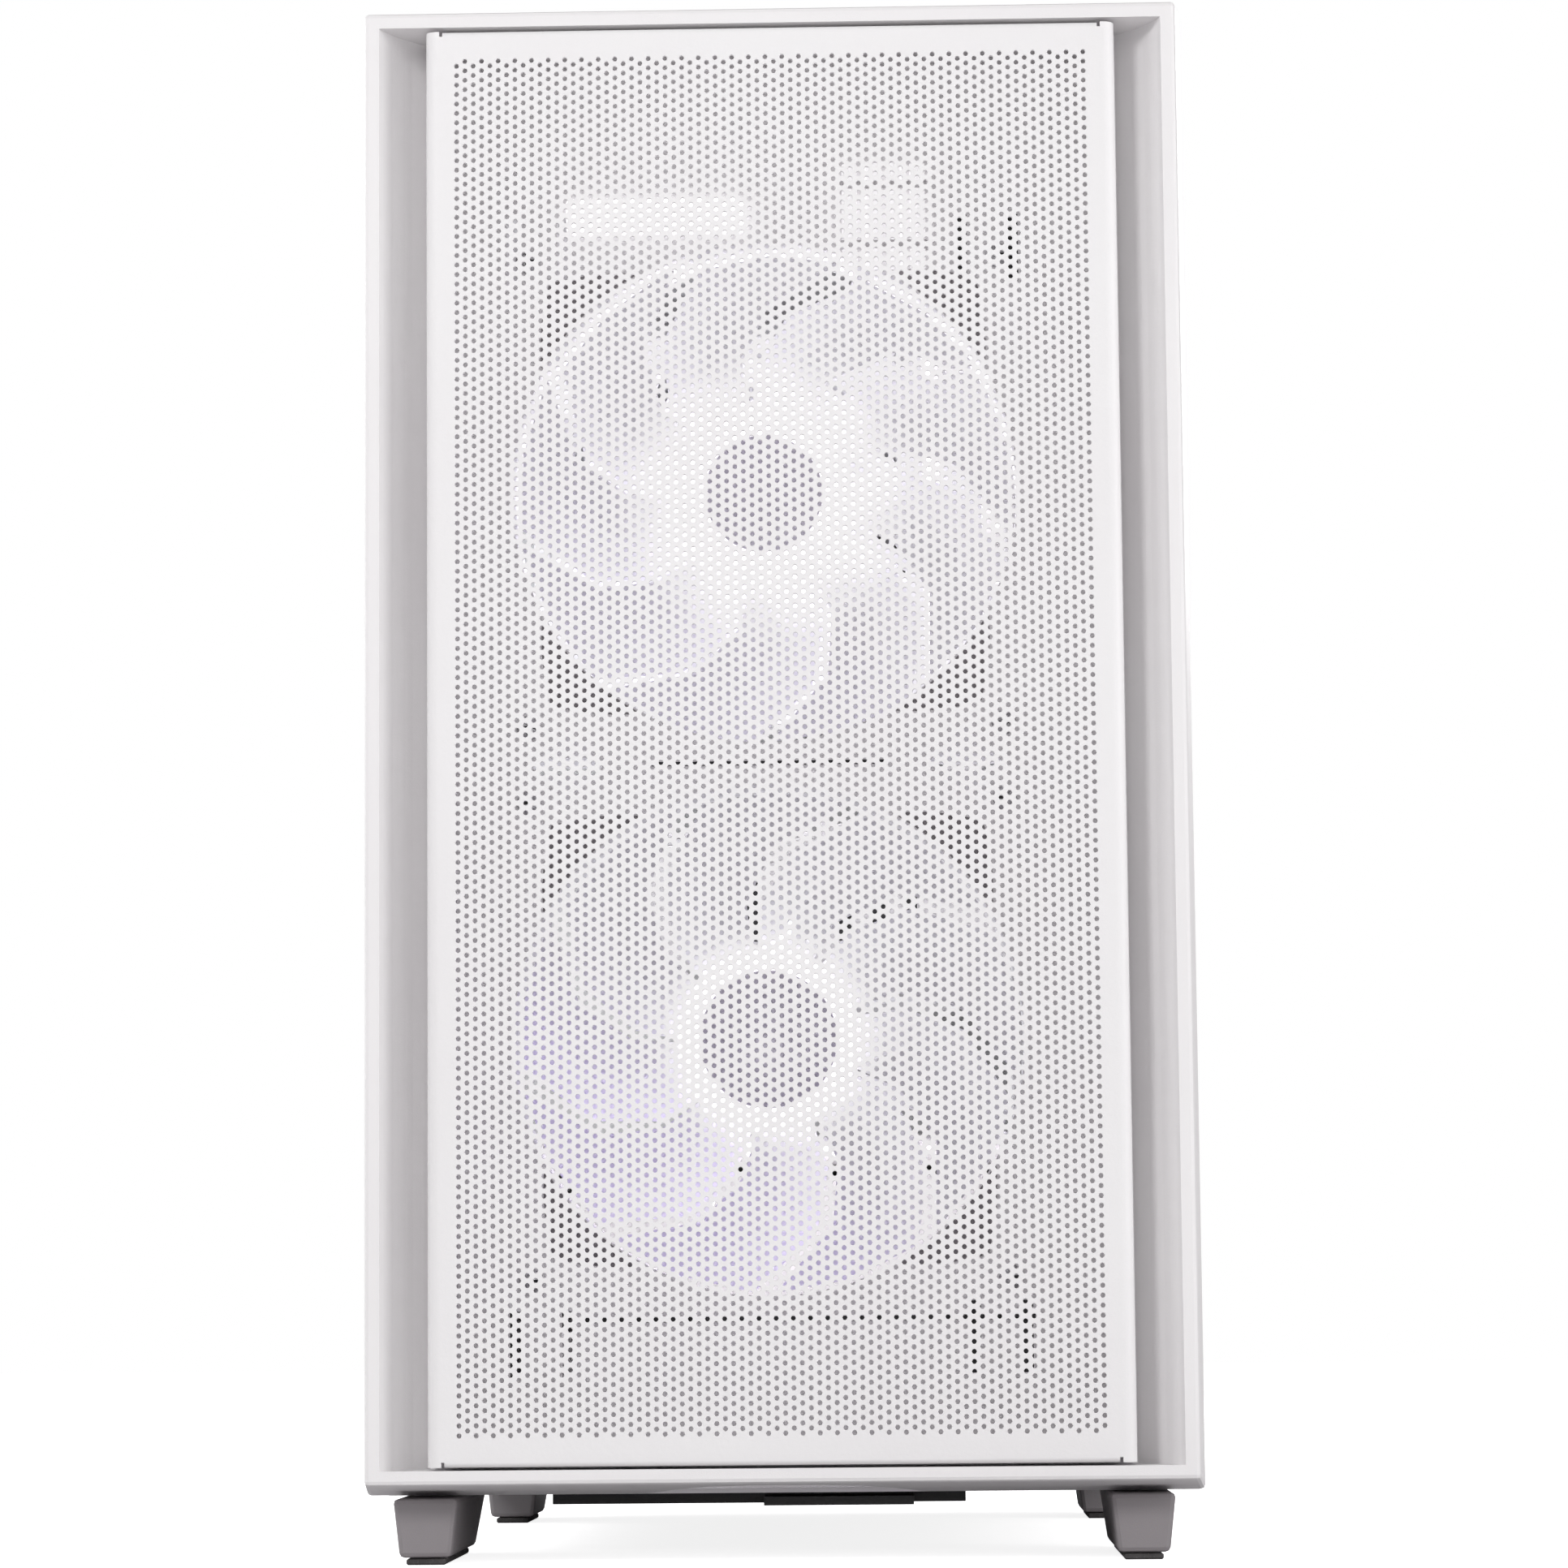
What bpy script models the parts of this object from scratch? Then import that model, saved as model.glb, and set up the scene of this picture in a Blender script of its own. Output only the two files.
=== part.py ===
"""A compact micro-ATX tower computer, taken apart into its real pieces.

Metres, +Z up. The origin is on the floor under the middle of the case. The front faces -Y,
+X is to the right as the front is looked at, so the glass side is at -X.
"""

import math

import bmesh
import bpy
from mathutils import Matrix, Vector

MM = 0.001

# ---- driving sizes of the whole case ----
CASE_WIDTH = 216 * MM
CASE_TOP = 402 * MM
CASE_DEPTH = 390 * MM
FOOT_HEIGHT = 17 * MM
GAP = 0.3 * MM
SHEET = 1.2 * MM

# ---- front bezel ----
BEZEL_DEPTH = 33 * MM
RING_SIDE_SETBACK = 2.9 * MM
RING_TOP_SETBACK = 2.5 * MM
RING_BOTTOM_SETBACK = 3.5 * MM
RING_FACE_SIDE = 3.8 * MM
RING_FACE_TOP = 3.9 * MM
RING_FACE_BOTTOM = 3.6 * MM
BEZEL_EDGE_RADIUS = 1.1 * MM
LEDGE_DEPTH = 18.8 * MM
LEDGE_THICKNESS = 2.4 * MM
LEDGE_WIDTH = 6 * MM
COVE_SLOPE = 0.261
COVE_CURVE = 17.6
COVE_STEPS = 8
BEZEL_WALL = 3.4 * MM
GRIP_HALF_WIDTH = 36 * MM
GRIP_REACH = 25 * MM
GRIP_STEPS = 16

# ---- perforated front panel ----
PANEL_WIDTH = 178.6 * MM
PANEL_TOP_GAP = 1.1 * MM
PANEL_BOTTOM_GAP = 0.8 * MM
PANEL_SHEET = 1.0 * MM
PANEL_BEND_RADIUS = 2.2 * MM

# ---- side, top and bottom panels ----
GLASS_THICKNESS = 4 * MM
SIDE_SKIN = 1.2 * MM
TOP_FILTER_THICKNESS = 1.7 * MM
TOP_FILTER_WIDTH = 176 * MM
TOP_FILTER_LENGTH = 268 * MM
TOP_FILTER_FRONT = 66 * MM
REAR_OVERHANG = 5 * MM
REAR_LIP = 12 * MM
STRIP_THICKNESS = 1.0 * MM
STRIP_LEG = 18 * MM
BOTTOM_FILTER_WIDTH = 112 * MM
BOTTOM_FILTER_LENGTH = 240 * MM
BOTTOM_FILTER_FRONT = 100 * MM
BOTTOM_FILTER_THICKNESS = 4.6 * MM
BOTTOM_FILTER_SHIFT = -9 * MM
FILTER_TAB_WIDTH = 40 * MM
FILTER_TAB_LENGTH = 22 * MM
FILTER_TAB_SHIFT = 22 * MM

# ---- feet ----
FOOT_TOP_WIDTH = 16.6 * MM
FOOT_BOTTOM_WIDTH = 13.2 * MM
FOOT_CENTRE_X = 91.2 * MM
FOOT_FRONT_SETBACK = 15 * MM
FOOT_SPACING = 270 * MM
FRONT_FOOT_LENGTH = 84 * MM
REAR_FOOT_LENGTH = 58 * MM
FOOT_HEEL = 15 * MM
FOOT_EDGE = 1.2 * MM
PAD_THICKNESS = 1.6 * MM
PAD_INSET = 1.6 * MM

# ---- fans ----
FRONT_FAN_SIZE = 140 * MM
FRONT_FAN_SHIFT = -3.3 * MM
UPPER_FAN_Z = 278.3 * MM
LOWER_FAN_Z = 134.0 * MM
SMALL_FAN_SIZE = 120 * MM
FAN_THICKNESS = 25 * MM
FAN_FLANGE = 4 * MM
FAN_WALL = 3.2 * MM
FAN_HOLE_SHARE_140 = 124.5 / 140
FAN_HOLE_SHARE_120 = 105 / 120
FAN_SCREW_RADIUS = 2.2 * MM
FAN_STRUT = 4 * MM
ROTOR_SETBACK = 2.6 * MM
TIP_CLEARANCE = 1.3 * MM
BLADE_THICKNESS = 1.3 * MM
HUB_SEGMENTS = 24
DUCT_SEGMENTS = 40

# ---- inside ----
TRAY_X = 84.5 * MM
SHROUD_Z = 108 * MM
BOARD_SIZE = 243 * MM
BOARD_THICKNESS = 1.6 * MM
STANDOFF = 5.2 * MM
PORTS_TO_SHIELD = 4 * MM
BOARD_TOP = 372 * MM
IO_HEIGHT = 158.8 * MM
IO_WIDTH = 44.4 * MM
SLOT_PITCH = 20.32 * MM
SLOT_COUNT = 4
SLOT_LENGTH = 112 * MM
SLOT_WIDTH = 15 * MM
BRACKET_WIDTH = 18.4 * MM
PSU_WIDTH = 150 * MM
PSU_HEIGHT = 86 * MM
PSU_LENGTH = 140 * MM
PSU_BORDER = 4 * MM
PSU_FAN_RADIUS = 60 * MM

# ---- openings in the front plate ----
WEB_NOTCH_RADIUS = 9.5 * MM
WEB_NOTCH_SHARE = 0.78
FAN_SLOT_WIDTH = 3.6 * MM
FAN_SLOT_XS = (52.5 * MM, 66 * MM)
FAN_SLOT_ZS = ((47 * MM, 66 * MM), (334 * MM, 352 * MM))

# ---- side panel fastenings ----
LIP_END_GAP = 2 * MM
THUMB_SEGMENTS = 20

# ---- blades, hubs and struts ----
BLADE_SPANS = 3
BLADE_CHORDS = 2
BLADE_ROOT_SHARE = 0.9
BLADE_COVER = 0.85
BLADE_RISE = 0.44
BLADE_FLATTENING = 0.25
BLADE_SWEEP = 0.55
FLAT_BLADE_SWEEP = 0.5
FAN_BLADES = 9
SUPPLY_BLADES = 7
MOTOR_SHARE = 0.86
STRUT_TURN = 0.4
SCREW_SEGMENTS = 8
FRONT_HUB_RADIUS = 24 * MM
SMALL_HUB_RADIUS = 20 * MM
CARD_HUB_RADIUS = 15 * MM

# ---- pieces on the board ----
STANDOFF_RADIUS = 3 * MM
STANDOFF_SIDES = 6
PORTS_INSET = 3 * MM
SINK_HEIGHT = 24 * MM
SINK_LENGTH = 92 * MM
SINK_SLOT_WIDTH = 5 * MM
CHIP_SINK_HEIGHT = 9 * MM
CHIP_SINK_Z = (137 * MM, 154 * MM)
MEMORY_HEIGHT = 36 * MM
MEMORY_THICKNESS = 6 * MM
MEMORY_LENGTH = 133 * MM
MEMORY_EDGE = 1.2 * MM

# ---- processor cooler ----
COOLER_BASE_HEIGHT = 14 * MM
COOLER_SETBACK = 2 * MM
PIPES = 4
PIPE_SEGMENTS = 12
PIPE_END = 1 * MM
PIPE_TOP_GAP = 4 * MM

# ---- graphics card ----
CARD_CONTACT_GAP = 4 * MM
CARD_ABOVE_SLOT = 5 * MM
CARD_OVERHANG = 4 * MM
CARD_CONTACT_STRIP = 10 * MM
CARD_REAR_STRIP = 8 * MM
CARD_EDGE = 3 * MM
CARD_FANS_SHIFT = 6 * MM
CARD_FAN_CLEARANCE = 1.5 * MM
COVER_OVERLAP = 3 * MM

# ---- power supply's fan and sockets ----
PSU_FAN_SHIFT = 4 * MM
PSU_WELL_DEPTH = 20 * MM
PSU_FAN_CLEARANCE = 2 * MM
PSU_ROTOR_DEPTH = 14 * MM
POCKET_DEPTH = 3 * MM
INLET_FLOOR = 2 * MM
ROCKER_FACE = 4 * MM

# ---- sockets and buttons on the roof ----
IO_BELOW_TOP = 1.1 * MM
PORT_WALL = 0.5 * MM
USB_C_SIZE = (9.4 * MM, 3.6 * MM)
AUDIO_RADIUS = 3.4 * MM
AUDIO_BORE = 1.8 * MM
AUDIO_BORE_SEGMENTS = 16
RESET_SEGMENTS = 20
RESET_SUNK = 0.4 * MM
BUTTON_EDGE = 0.5 * MM
DRIVE_EDGE = 2 * MM

# ---- places worked out from the sizes above ----
FRONT = -CASE_DEPTH / 2
HALF = CASE_WIDTH / 2
BEZEL_BACK = FRONT + BEZEL_DEPTH
BOTTOM = FOOT_HEIGHT
CHASSIS_FRONT = BEZEL_BACK + GAP
REAR_OUTER = CASE_DEPTH / 2 - REAR_OVERHANG
REAR_INNER = REAR_OUTER - SHEET
FLOOR_TOP = BOTTOM + SHEET
ROOF_TOP = CASE_TOP - TOP_FILTER_THICKNESS - GAP
ROOF_UNDER = ROOF_TOP - SHEET
INSIDE_FRONT = CHASSIS_FRONT + SHEET
RIGHT_SKIN = HALF - SIDE_SKIN
LEFT_SKIN = -HALF + GLASS_THICKNESS
CHASSIS_LEFT = LEFT_SKIN + STRIP_THICKNESS + 2 * GAP
CHASSIS_RIGHT = RIGHT_SKIN - GAP
FAN_FACE = INSIDE_FRONT + GAP
FAN_BACK = FAN_FACE + FAN_THICKNESS
BOARD_RIGHT = TRAY_X - STANDOFF
BOARD_FACE = BOARD_RIGHT - BOARD_THICKNESS
CUT = 2 * MM

# ---- recess, panel and opening places ----
RING_HALF = HALF - RING_SIDE_SETBACK
RING_TOP = CASE_TOP - RING_TOP_SETBACK
RING_BOTTOM = BOTTOM + RING_BOTTOM_SETBACK
RECESS_HALF = RING_HALF - RING_FACE_SIDE
RECESS_TOP = RING_TOP - RING_FACE_TOP
RECESS_BOTTOM = RING_BOTTOM + RING_FACE_BOTTOM
PANEL_HALF = PANEL_WIDTH / 2
PANEL_TOP = RECESS_TOP - PANEL_TOP_GAP
PANEL_BOTTOM = RECESS_BOTTOM + PANEL_BOTTOM_GAP
INTAKE_HALF = PANEL_HALF - LEDGE_WIDTH
INTAKE = (PANEL_BOTTOM + LEDGE_WIDTH, PANEL_TOP - LEDGE_WIDTH)
IO_LENGTH = 112 * MM
IO_DEPTH = 24 * MM
IO_X = 27 * MM
IO_Y = CHASSIS_FRONT + 18 * MM
IO_RIM = 2 * MM
IO_BODY_HEIGHT = 15 * MM
SHIELD_TOP = BOARD_TOP - 6 * MM
SHIELD_Z = (SHIELD_TOP - IO_HEIGHT, SHIELD_TOP)
SHIELD_X = (BOARD_FACE - IO_WIDTH + 3 * MM, BOARD_FACE + 3 * MM)
FIRST_SLOT_Z = SHIELD_Z[0] - 14 * MM
SLOT_ZS = [FIRST_SLOT_Z - index * SLOT_PITCH for index in range(SLOT_COUNT)]
SLOT_X = (BOARD_FACE - SLOT_LENGTH + 6 * MM, BOARD_FACE + 1 * MM)
REAR_FAN_X = -34 * MM
REAR_FAN_Z = ROOF_UNDER - SMALL_FAN_SIZE / 2 - 9 * MM
PSU_RIGHT = TRAY_X - 3.5 * MM
PSU_X = (PSU_RIGHT - PSU_WIDTH, PSU_RIGHT)
PSU_Z = (FLOOR_TOP + GAP, FLOOR_TOP + GAP + PSU_HEIGHT)
PSU_Y = (REAR_INNER - GAP - PSU_LENGTH, REAR_INNER - GAP)
BOARD_BACK_Y = REAR_INNER - PORTS_TO_SHIELD - GAP
BOARD_FRONT_Y = BOARD_BACK_Y - BOARD_SIZE
GROMMET_WIDTH = 22 * MM
GROMMET_Y = BOARD_FRONT_Y - 18 * MM
GROMMET_Z = (232 * MM, 316 * MM)
SHROUD_CABLE_Y = (PSU_Y[0] - 64.5 * MM, PSU_Y[0] - 18.5 * MM)
SHROUD_CABLE_Z = (38 * MM, 88 * MM)
CPU_Y = BOARD_BACK_Y - 88.5 * MM
CPU_Z = 302 * MM
CPU_OPENING = 78 * MM
THUMB_RADIUS = 4.6 * MM
THUMB_ZS = (70 * MM, 350 * MM)
STANDOFF_PLACES = (
    (BOARD_FRONT_Y + 12 * MM, BOARD_TOP - 12 * MM),
    (BOARD_FRONT_Y + 12 * MM, BOARD_TOP - 232 * MM),
    (BOARD_BACK_Y - 10 * MM, BOARD_TOP - 12 * MM),
    (BOARD_BACK_Y - 10 * MM, BOARD_TOP - 232 * MM),
)
PORTS_DEPTH = 26 * MM
PORTS_LENGTH = 150 * MM
SINK_DEPTH = 15 * MM
SINK_SLOT_DEPTH = 8 * MM
SINK_SLOT_PITCH = 17 * MM
SINK_SLOTS = 5
MEMORY_YS = (BOARD_FRONT_Y + 44.5 * MM, BOARD_FRONT_Y + 55.5 * MM)
CHIP_SINK_Y = (BOARD_FRONT_Y + 24.5 * MM, BOARD_FRONT_Y + 66.5 * MM)
COOLER_FINS_X = (-76 * MM, 36 * MM)
COOLER_BASE_WIDTH = 44 * MM
COOLER_DEPTH = 48 * MM
COOLER_PLATES = 7
COOLER_PLATE = 7 * MM
PIPE_RADIUS = 3 * MM
PIPE_SPACING = 10 * MM
COOLER_FAN_GAP = 0.6 * MM
CARD_LENGTH = 230 * MM
CARD_HEIGHT = 112 * MM
CARD_COOLER_THICKNESS = 36 * MM
CARD_FAN_RADIUS = 43 * MM
CARD_FAN_DEPTH = 12 * MM
CARD_FAN_SPACING = 98 * MM
INLET_X = 52 * MM
SWITCH_X = 20 * MM
SUPPLY_TOP_ROW = 70 * MM
INLET_SIZE = (30 * MM, 23 * MM)
INLET_HOLE = (24 * MM, 17 * MM)
INLET_DEPTH = 14 * MM
ROCKER_SIZE = (19 * MM, 13 * MM)
ROCKER_THICKNESS = 6 * MM
ROCKER_PLAY = 1.2 * MM
ROCKER_TILT = 14
CAGE_X = (-62 * MM, 62 * MM)
CAGE_Y = (FAN_BACK + 14 * MM, FAN_BACK + 14 * MM + 118 * MM)
CAGE_Z = (FLOOR_TOP + GAP, FLOOR_TOP + GAP + 40 * MM)
DRIVE_SIZE = (101.6 * MM, 108 * MM, 26 * MM)
PORT_DEPTH = 10 * MM
USB_A_SIZE = (13.2 * MM, 5.8 * MM)
USB_A_XS = (9 * MM, 29 * MM)
USB_C_X = -7 * MM
AUDIO_X = 45 * MM
RESET_X = 56 * MM
POWER_X = 70 * MM
POWER_RADIUS = 7 * MM
RESET_RADIUS = 2.6 * MM
BUTTON_CLEARANCE = 0.35 * MM
BUTTON_TRAVEL = 1.2 * MM
BUTTON_PROUD = 0.9 * MM
IO_PLATE = 2 * MM
BUTTON_DEPTH = 8 * MM

# ---- cables, as the points that they pass through ----
IO_CABLE_RADIUS = 2.6 * MM
IO_CABLE_TOP = ROOF_TOP - IO_BODY_HEIGHT - GAP
IO_CABLE_ROUTE = (
    (24 * MM, IO_Y, IO_CABLE_TOP), (24 * MM, IO_Y, IO_CABLE_TOP - 12 * MM),
    (30 * MM, IO_Y + 10 * MM, 358 * MM), (52 * MM, IO_Y + 22 * MM, 354 * MM),
    (74 * MM, IO_Y + 26 * MM, 340 * MM), (76 * MM, GROMMET_Y, 318 * MM),
    (79 * MM, GROMMET_Y, 300 * MM),
)
MAIN_CABLE_RADIUS = 5.5 * MM
MAIN_CABLE_ROUTE = (
    (62 * MM, PSU_Y[0] - GAP, 62 * MM), (62 * MM, PSU_Y[0] - 12 * MM, 62 * MM),
    (66 * MM, PSU_Y[0] - 26.5 * MM, 62 * MM), (84 * MM, PSU_Y[0] - 40.5 * MM, 64 * MM),
    (95 * MM, PSU_Y[0] - 47.5 * MM, 78 * MM), (98 * MM, PSU_Y[0] - 58.5 * MM, 110 * MM),
    (98 * MM, GROMMET_Y, 180 * MM), (97 * MM, GROMMET_Y, 244 * MM),
    (88 * MM, GROMMET_Y, 262 * MM), (74 * MM, GROMMET_Y + 2 * MM, 268 * MM),
    (62 * MM, GROMMET_Y + 12 * MM, 270 * MM), (59 * MM, BOARD_FRONT_Y + 7 * MM, 270 * MM),
    (66 * MM, BOARD_FRONT_Y + 12 * MM, 270 * MM),
    (BOARD_FACE - GAP, BOARD_FRONT_Y + 12 * MM, 270 * MM),
)

AXIS_TURNS = {
    "X": Matrix.Rotation(math.pi / 2, 4, "Y"),
    "Y": Matrix.Rotation(-math.pi / 2, 4, "X"),
    "Z": Matrix.Identity(4),
}


def clear_scene():
    for item in list(bpy.data.objects):
        bpy.data.objects.remove(item, do_unlink=True)
    for mesh in list(bpy.data.meshes):
        bpy.data.meshes.remove(mesh)


def new_collection(name):
    collection = bpy.data.collections.new(name)
    bpy.context.scene.collection.children.link(collection)
    return collection


clear_scene()
PARTS = new_collection("desktop_tower")
HELPERS = new_collection("cutters")


def material(name, colour, roughness, metallic=0.0):
    found = bpy.data.materials.get(name)
    if found:
        return found
    made = bpy.data.materials.new(name)
    made.use_nodes = True
    made.diffuse_color = (*colour, 1)
    shader = made.node_tree.nodes["Principled BSDF"]
    shader.inputs["Base Color"].default_value = (*colour, 1)
    shader.inputs["Roughness"].default_value = roughness
    shader.inputs["Metallic"].default_value = metallic
    return made


WHITE_PAINT = ("white_paint", (0.86, 0.85, 0.86), 0.5)
WHITE_PLASTIC = ("white_plastic", (0.85, 0.84, 0.85), 0.42)
FAN_PLASTIC = ("fan_plastic", (0.84, 0.83, 0.87), 0.35)
GREY_METAL = ("grey_metal", (0.62, 0.62, 0.63), 0.35, 1.0)
DARK_PLASTIC = ("dark_plastic", (0.03, 0.03, 0.035), 0.5)
RUBBER = ("rubber", (0.05, 0.045, 0.05), 0.85)
GLASS = ("tempered_glass", (0.75, 0.78, 0.8), 0.05)
BOARD_COLOUR = ("board_white", (0.7, 0.7, 0.72), 0.5)
ALUMINIUM = ("aluminium", (0.75, 0.75, 0.77), 0.3, 1.0)


def add_object(name, mesh, paint=None, location=(0, 0, 0)):
    """A part gets a material of its own; a helper without one is a hidden cutter."""
    item = bpy.data.objects.new(name, mesh)
    item.location = location
    if paint:
        PARTS.objects.link(item)
        mesh.materials.append(material(name + "_" + paint[0], *paint[1:]))
    else:
        HELPERS.objects.link(item)
        item.hide_render = True
        item.display_type = "WIRE"
    return item


def from_bmesh(name, bm, paint, location):
    mesh = bpy.data.meshes.new(name)
    bm.to_mesh(mesh)
    bm.free()
    return add_object(name, mesh, paint, location)


def box(name, x, y, z, paint=None):
    """A block between the two values of each of x, y and z."""
    middle = Vector(((x[0] + x[1]) / 2, (y[0] + y[1]) / 2, (z[0] + z[1]) / 2))
    size = (x[1] - x[0], y[1] - y[0], z[1] - z[0])
    bm = bmesh.new()
    bmesh.ops.create_cube(bm, size=1, matrix=Matrix.Diagonal((*size, 1)))
    return from_bmesh(name, bm, paint, middle)


def around(middle, size):
    return (middle - size / 2, middle + size / 2)


def rod(name, axis, centre, radius, length, paint=None, segments=HUB_SEGMENTS):
    """A cylinder along the named axis."""
    bm = bmesh.new()
    bmesh.ops.create_cone(
        bm, cap_ends=True, segments=segments, radius1=radius, radius2=radius, depth=length,
        matrix=AXIS_TURNS[axis])
    return from_bmesh(name, bm, paint, centre)


def boolean(target, operation, others):
    for other in others:
        step = target.modifiers.new(operation.lower() + "_" + other.name, "BOOLEAN")
        step.operation = operation
        step.solver = "EXACT"
        step.object = other


def cut(target, *others):
    boolean(target, "DIFFERENCE", others)


def fuse(target, *others):
    boolean(target, "UNION", others)


def round_edges(item, width, segments=2, angle=40):
    edge = item.modifiers.new("rounded_edges", "BEVEL")
    edge.width = width
    edge.segments = segments
    edge.limit_method = "ANGLE"
    edge.angle_limit = math.radians(angle)
    edge.use_clamp_overlap = True


def to_mesh(curve_object, paint=None):
    """Turns a curve into a closed mesh at the same place, so that it can be cut or cut with."""
    bpy.context.view_layer.update()
    graph = bpy.context.evaluated_depsgraph_get()
    mesh = bpy.data.meshes.new_from_object(curve_object.evaluated_get(graph))
    place = curve_object.matrix_world.copy()
    name = curve_object.name
    bpy.data.objects.remove(curve_object, do_unlink=True)
    bm = bmesh.new()
    bm.from_mesh(mesh)
    bmesh.ops.remove_doubles(bm, verts=bm.verts, dist=0.00001)
    bmesh.ops.recalc_face_normals(bm, faces=bm.faces)
    bm.to_mesh(mesh)
    bm.free()
    mesh.materials.clear()
    item = add_object(name, mesh, paint)
    item.matrix_world = place
    return item


def flat_outline(name, points, thickness, place, paint=None):
    """A flat outline in its own XY plane, thickened evenly to both sides and set at a place."""
    curve = bpy.data.curves.new(name, "CURVE")
    curve.dimensions = "2D"
    curve.fill_mode = "BOTH"
    curve.extrude = thickness / 2
    spline = curve.splines.new("POLY")
    spline.points.add(len(points) - 1)
    for point, (u, v) in zip(spline.points, points):
        point.co = (u, v, 0, 1)
    spline.use_cyclic_u = True
    item = bpy.data.objects.new(name, curve)
    item.matrix_world = place
    HELPERS.objects.link(item)
    return to_mesh(item, paint)


def wire(name, points, radius, paint, steps=4):
    """A round cable along a smooth curve through the given points."""
    route = []
    last = len(points) - 1
    for index in range(last):
        before = Vector(points[max(index - 1, 0)])
        start = Vector(points[index])
        end = Vector(points[index + 1])
        after = Vector(points[min(index + 2, last)])
        for step in range(steps):
            t = step / steps
            route.append(0.5 * (
                2 * start + (end - before) * t
                + (2 * before - 5 * start + 4 * end - after) * t * t
                + (3 * start - before - 3 * end + after) * t * t * t))
    route.append(Vector(points[last]))
    curve = bpy.data.curves.new(name, "CURVE")
    curve.dimensions = "3D"
    curve.bevel_depth = radius
    curve.bevel_resolution = 2
    curve.use_fill_caps = True
    spline = curve.splines.new("POLY")
    spline.points.add(len(route) - 1)
    for point, place in zip(spline.points, route):
        point.co = (*place, 1)
    item = bpy.data.objects.new(name, curve)
    HELPERS.objects.link(item)
    return to_mesh(item, paint)


# ---------------------------------------------------------------- front


def cove_run(depth):
    """How far a side wall of the recess has curved inwards at a depth behind the ring."""
    return COVE_SLOPE * depth + COVE_CURVE * depth * depth


def make_bezel():
    bezel = box("front_bezel", (-HALF, HALF), (FRONT, BEZEL_BACK), (BOTTOM, CASE_TOP),
                WHITE_PLASTIC)
    base = bezel.location
    for vert in bezel.data.vertices:
        if vert.co.y < 0:
            vert.co.x = math.copysign(RING_HALF, vert.co.x)
            vert.co.z = (RING_TOP if vert.co.z > 0 else RING_BOTTOM) - base.z
    round_edges(bezel, BEZEL_EDGE_RADIUS)
    depths = [LEDGE_DEPTH * step / COVE_STEPS for step in range(COVE_STEPS + 1)]
    side = [(RECESS_HALF, FRONT - CUT)]
    side += [(RECESS_HALF - cove_run(depth), FRONT + depth) for depth in depths]
    outline = side + [(-x, y) for x, y in reversed(side)]
    middle = (RECESS_BOTTOM + RECESS_TOP) / 2
    recess = flat_outline(
        "recess_cutter", outline, RECESS_TOP - RECESS_BOTTOM, Matrix.Translation((0, 0, middle)))
    intake = box("intake_cutter", (-INTAKE_HALF, INTAKE_HALF), (FRONT, BEZEL_BACK), INTAKE)
    wall_start = FRONT + LEDGE_DEPTH + LEDGE_THICKNESS
    back = box(
        "bezel_back_cutter", (-HALF + BEZEL_WALL, HALF - BEZEL_WALL), (wall_start, BEZEL_BACK + CUT),
        (BOTTOM + BEZEL_WALL, CASE_TOP - BEZEL_WALL))
    reach = [(-GRIP_HALF_WIDTH, CUT), (GRIP_HALF_WIDTH, CUT)]
    for step in range(GRIP_STEPS + 1):
        x = GRIP_HALF_WIDTH * (1 - 2 * step / GRIP_STEPS)
        reach.append((x, -GRIP_REACH * (1 - abs(x / GRIP_HALF_WIDTH) ** 3)))
    grip = flat_outline(
        "grip_cutter", reach, 2 * (BEZEL_WALL + CUT / 2), Matrix.Translation((0, BEZEL_BACK, BOTTOM)))
    cut(bezel, recess, intake, back, grip)
    return bezel


def make_front_panel():
    """A sheet folded back on all four sides. Its fine holes are too small to cut here."""
    sides = (-PANEL_HALF, PANEL_HALF)
    heights = (PANEL_BOTTOM, PANEL_TOP)
    back = FRONT + LEDGE_DEPTH - GAP
    panel = box("front_mesh_panel", sides, (FRONT, back), heights, WHITE_PAINT)
    round_edges(panel, PANEL_BEND_RADIUS)
    hollow = box(
        "panel_hollow", (sides[0] + PANEL_SHEET, sides[1] - PANEL_SHEET),
        (FRONT + PANEL_SHEET, back + CUT + PANEL_BEND_RADIUS),
        (heights[0] + PANEL_SHEET, heights[1] - PANEL_SHEET))
    trim = box(
        "panel_trim", (sides[0] - CUT, sides[1] + CUT), (back - PANEL_BEND_RADIUS, back + CUT),
        (heights[0] - CUT, heights[1] + CUT))
    cut(panel, hollow, trim)
    lip_inside = (sides[0] + PANEL_SHEET, sides[1] - PANEL_SHEET)
    rim = box("panel_rim", sides, (back - PANEL_BEND_RADIUS - GAP, back), heights)
    rim_hole = box(
        "panel_rim_hole", lip_inside, (back - 2 * PANEL_BEND_RADIUS, back + CUT),
        (heights[0] + PANEL_SHEET, heights[1] - PANEL_SHEET))
    cut(rim, rim_hole)
    fuse(panel, rim)
    return panel


# ---------------------------------------------------------------- chassis


def fan_places():
    return ((FRONT_FAN_SHIFT, UPPER_FAN_Z), (FRONT_FAN_SHIFT, LOWER_FAN_Z))


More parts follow.
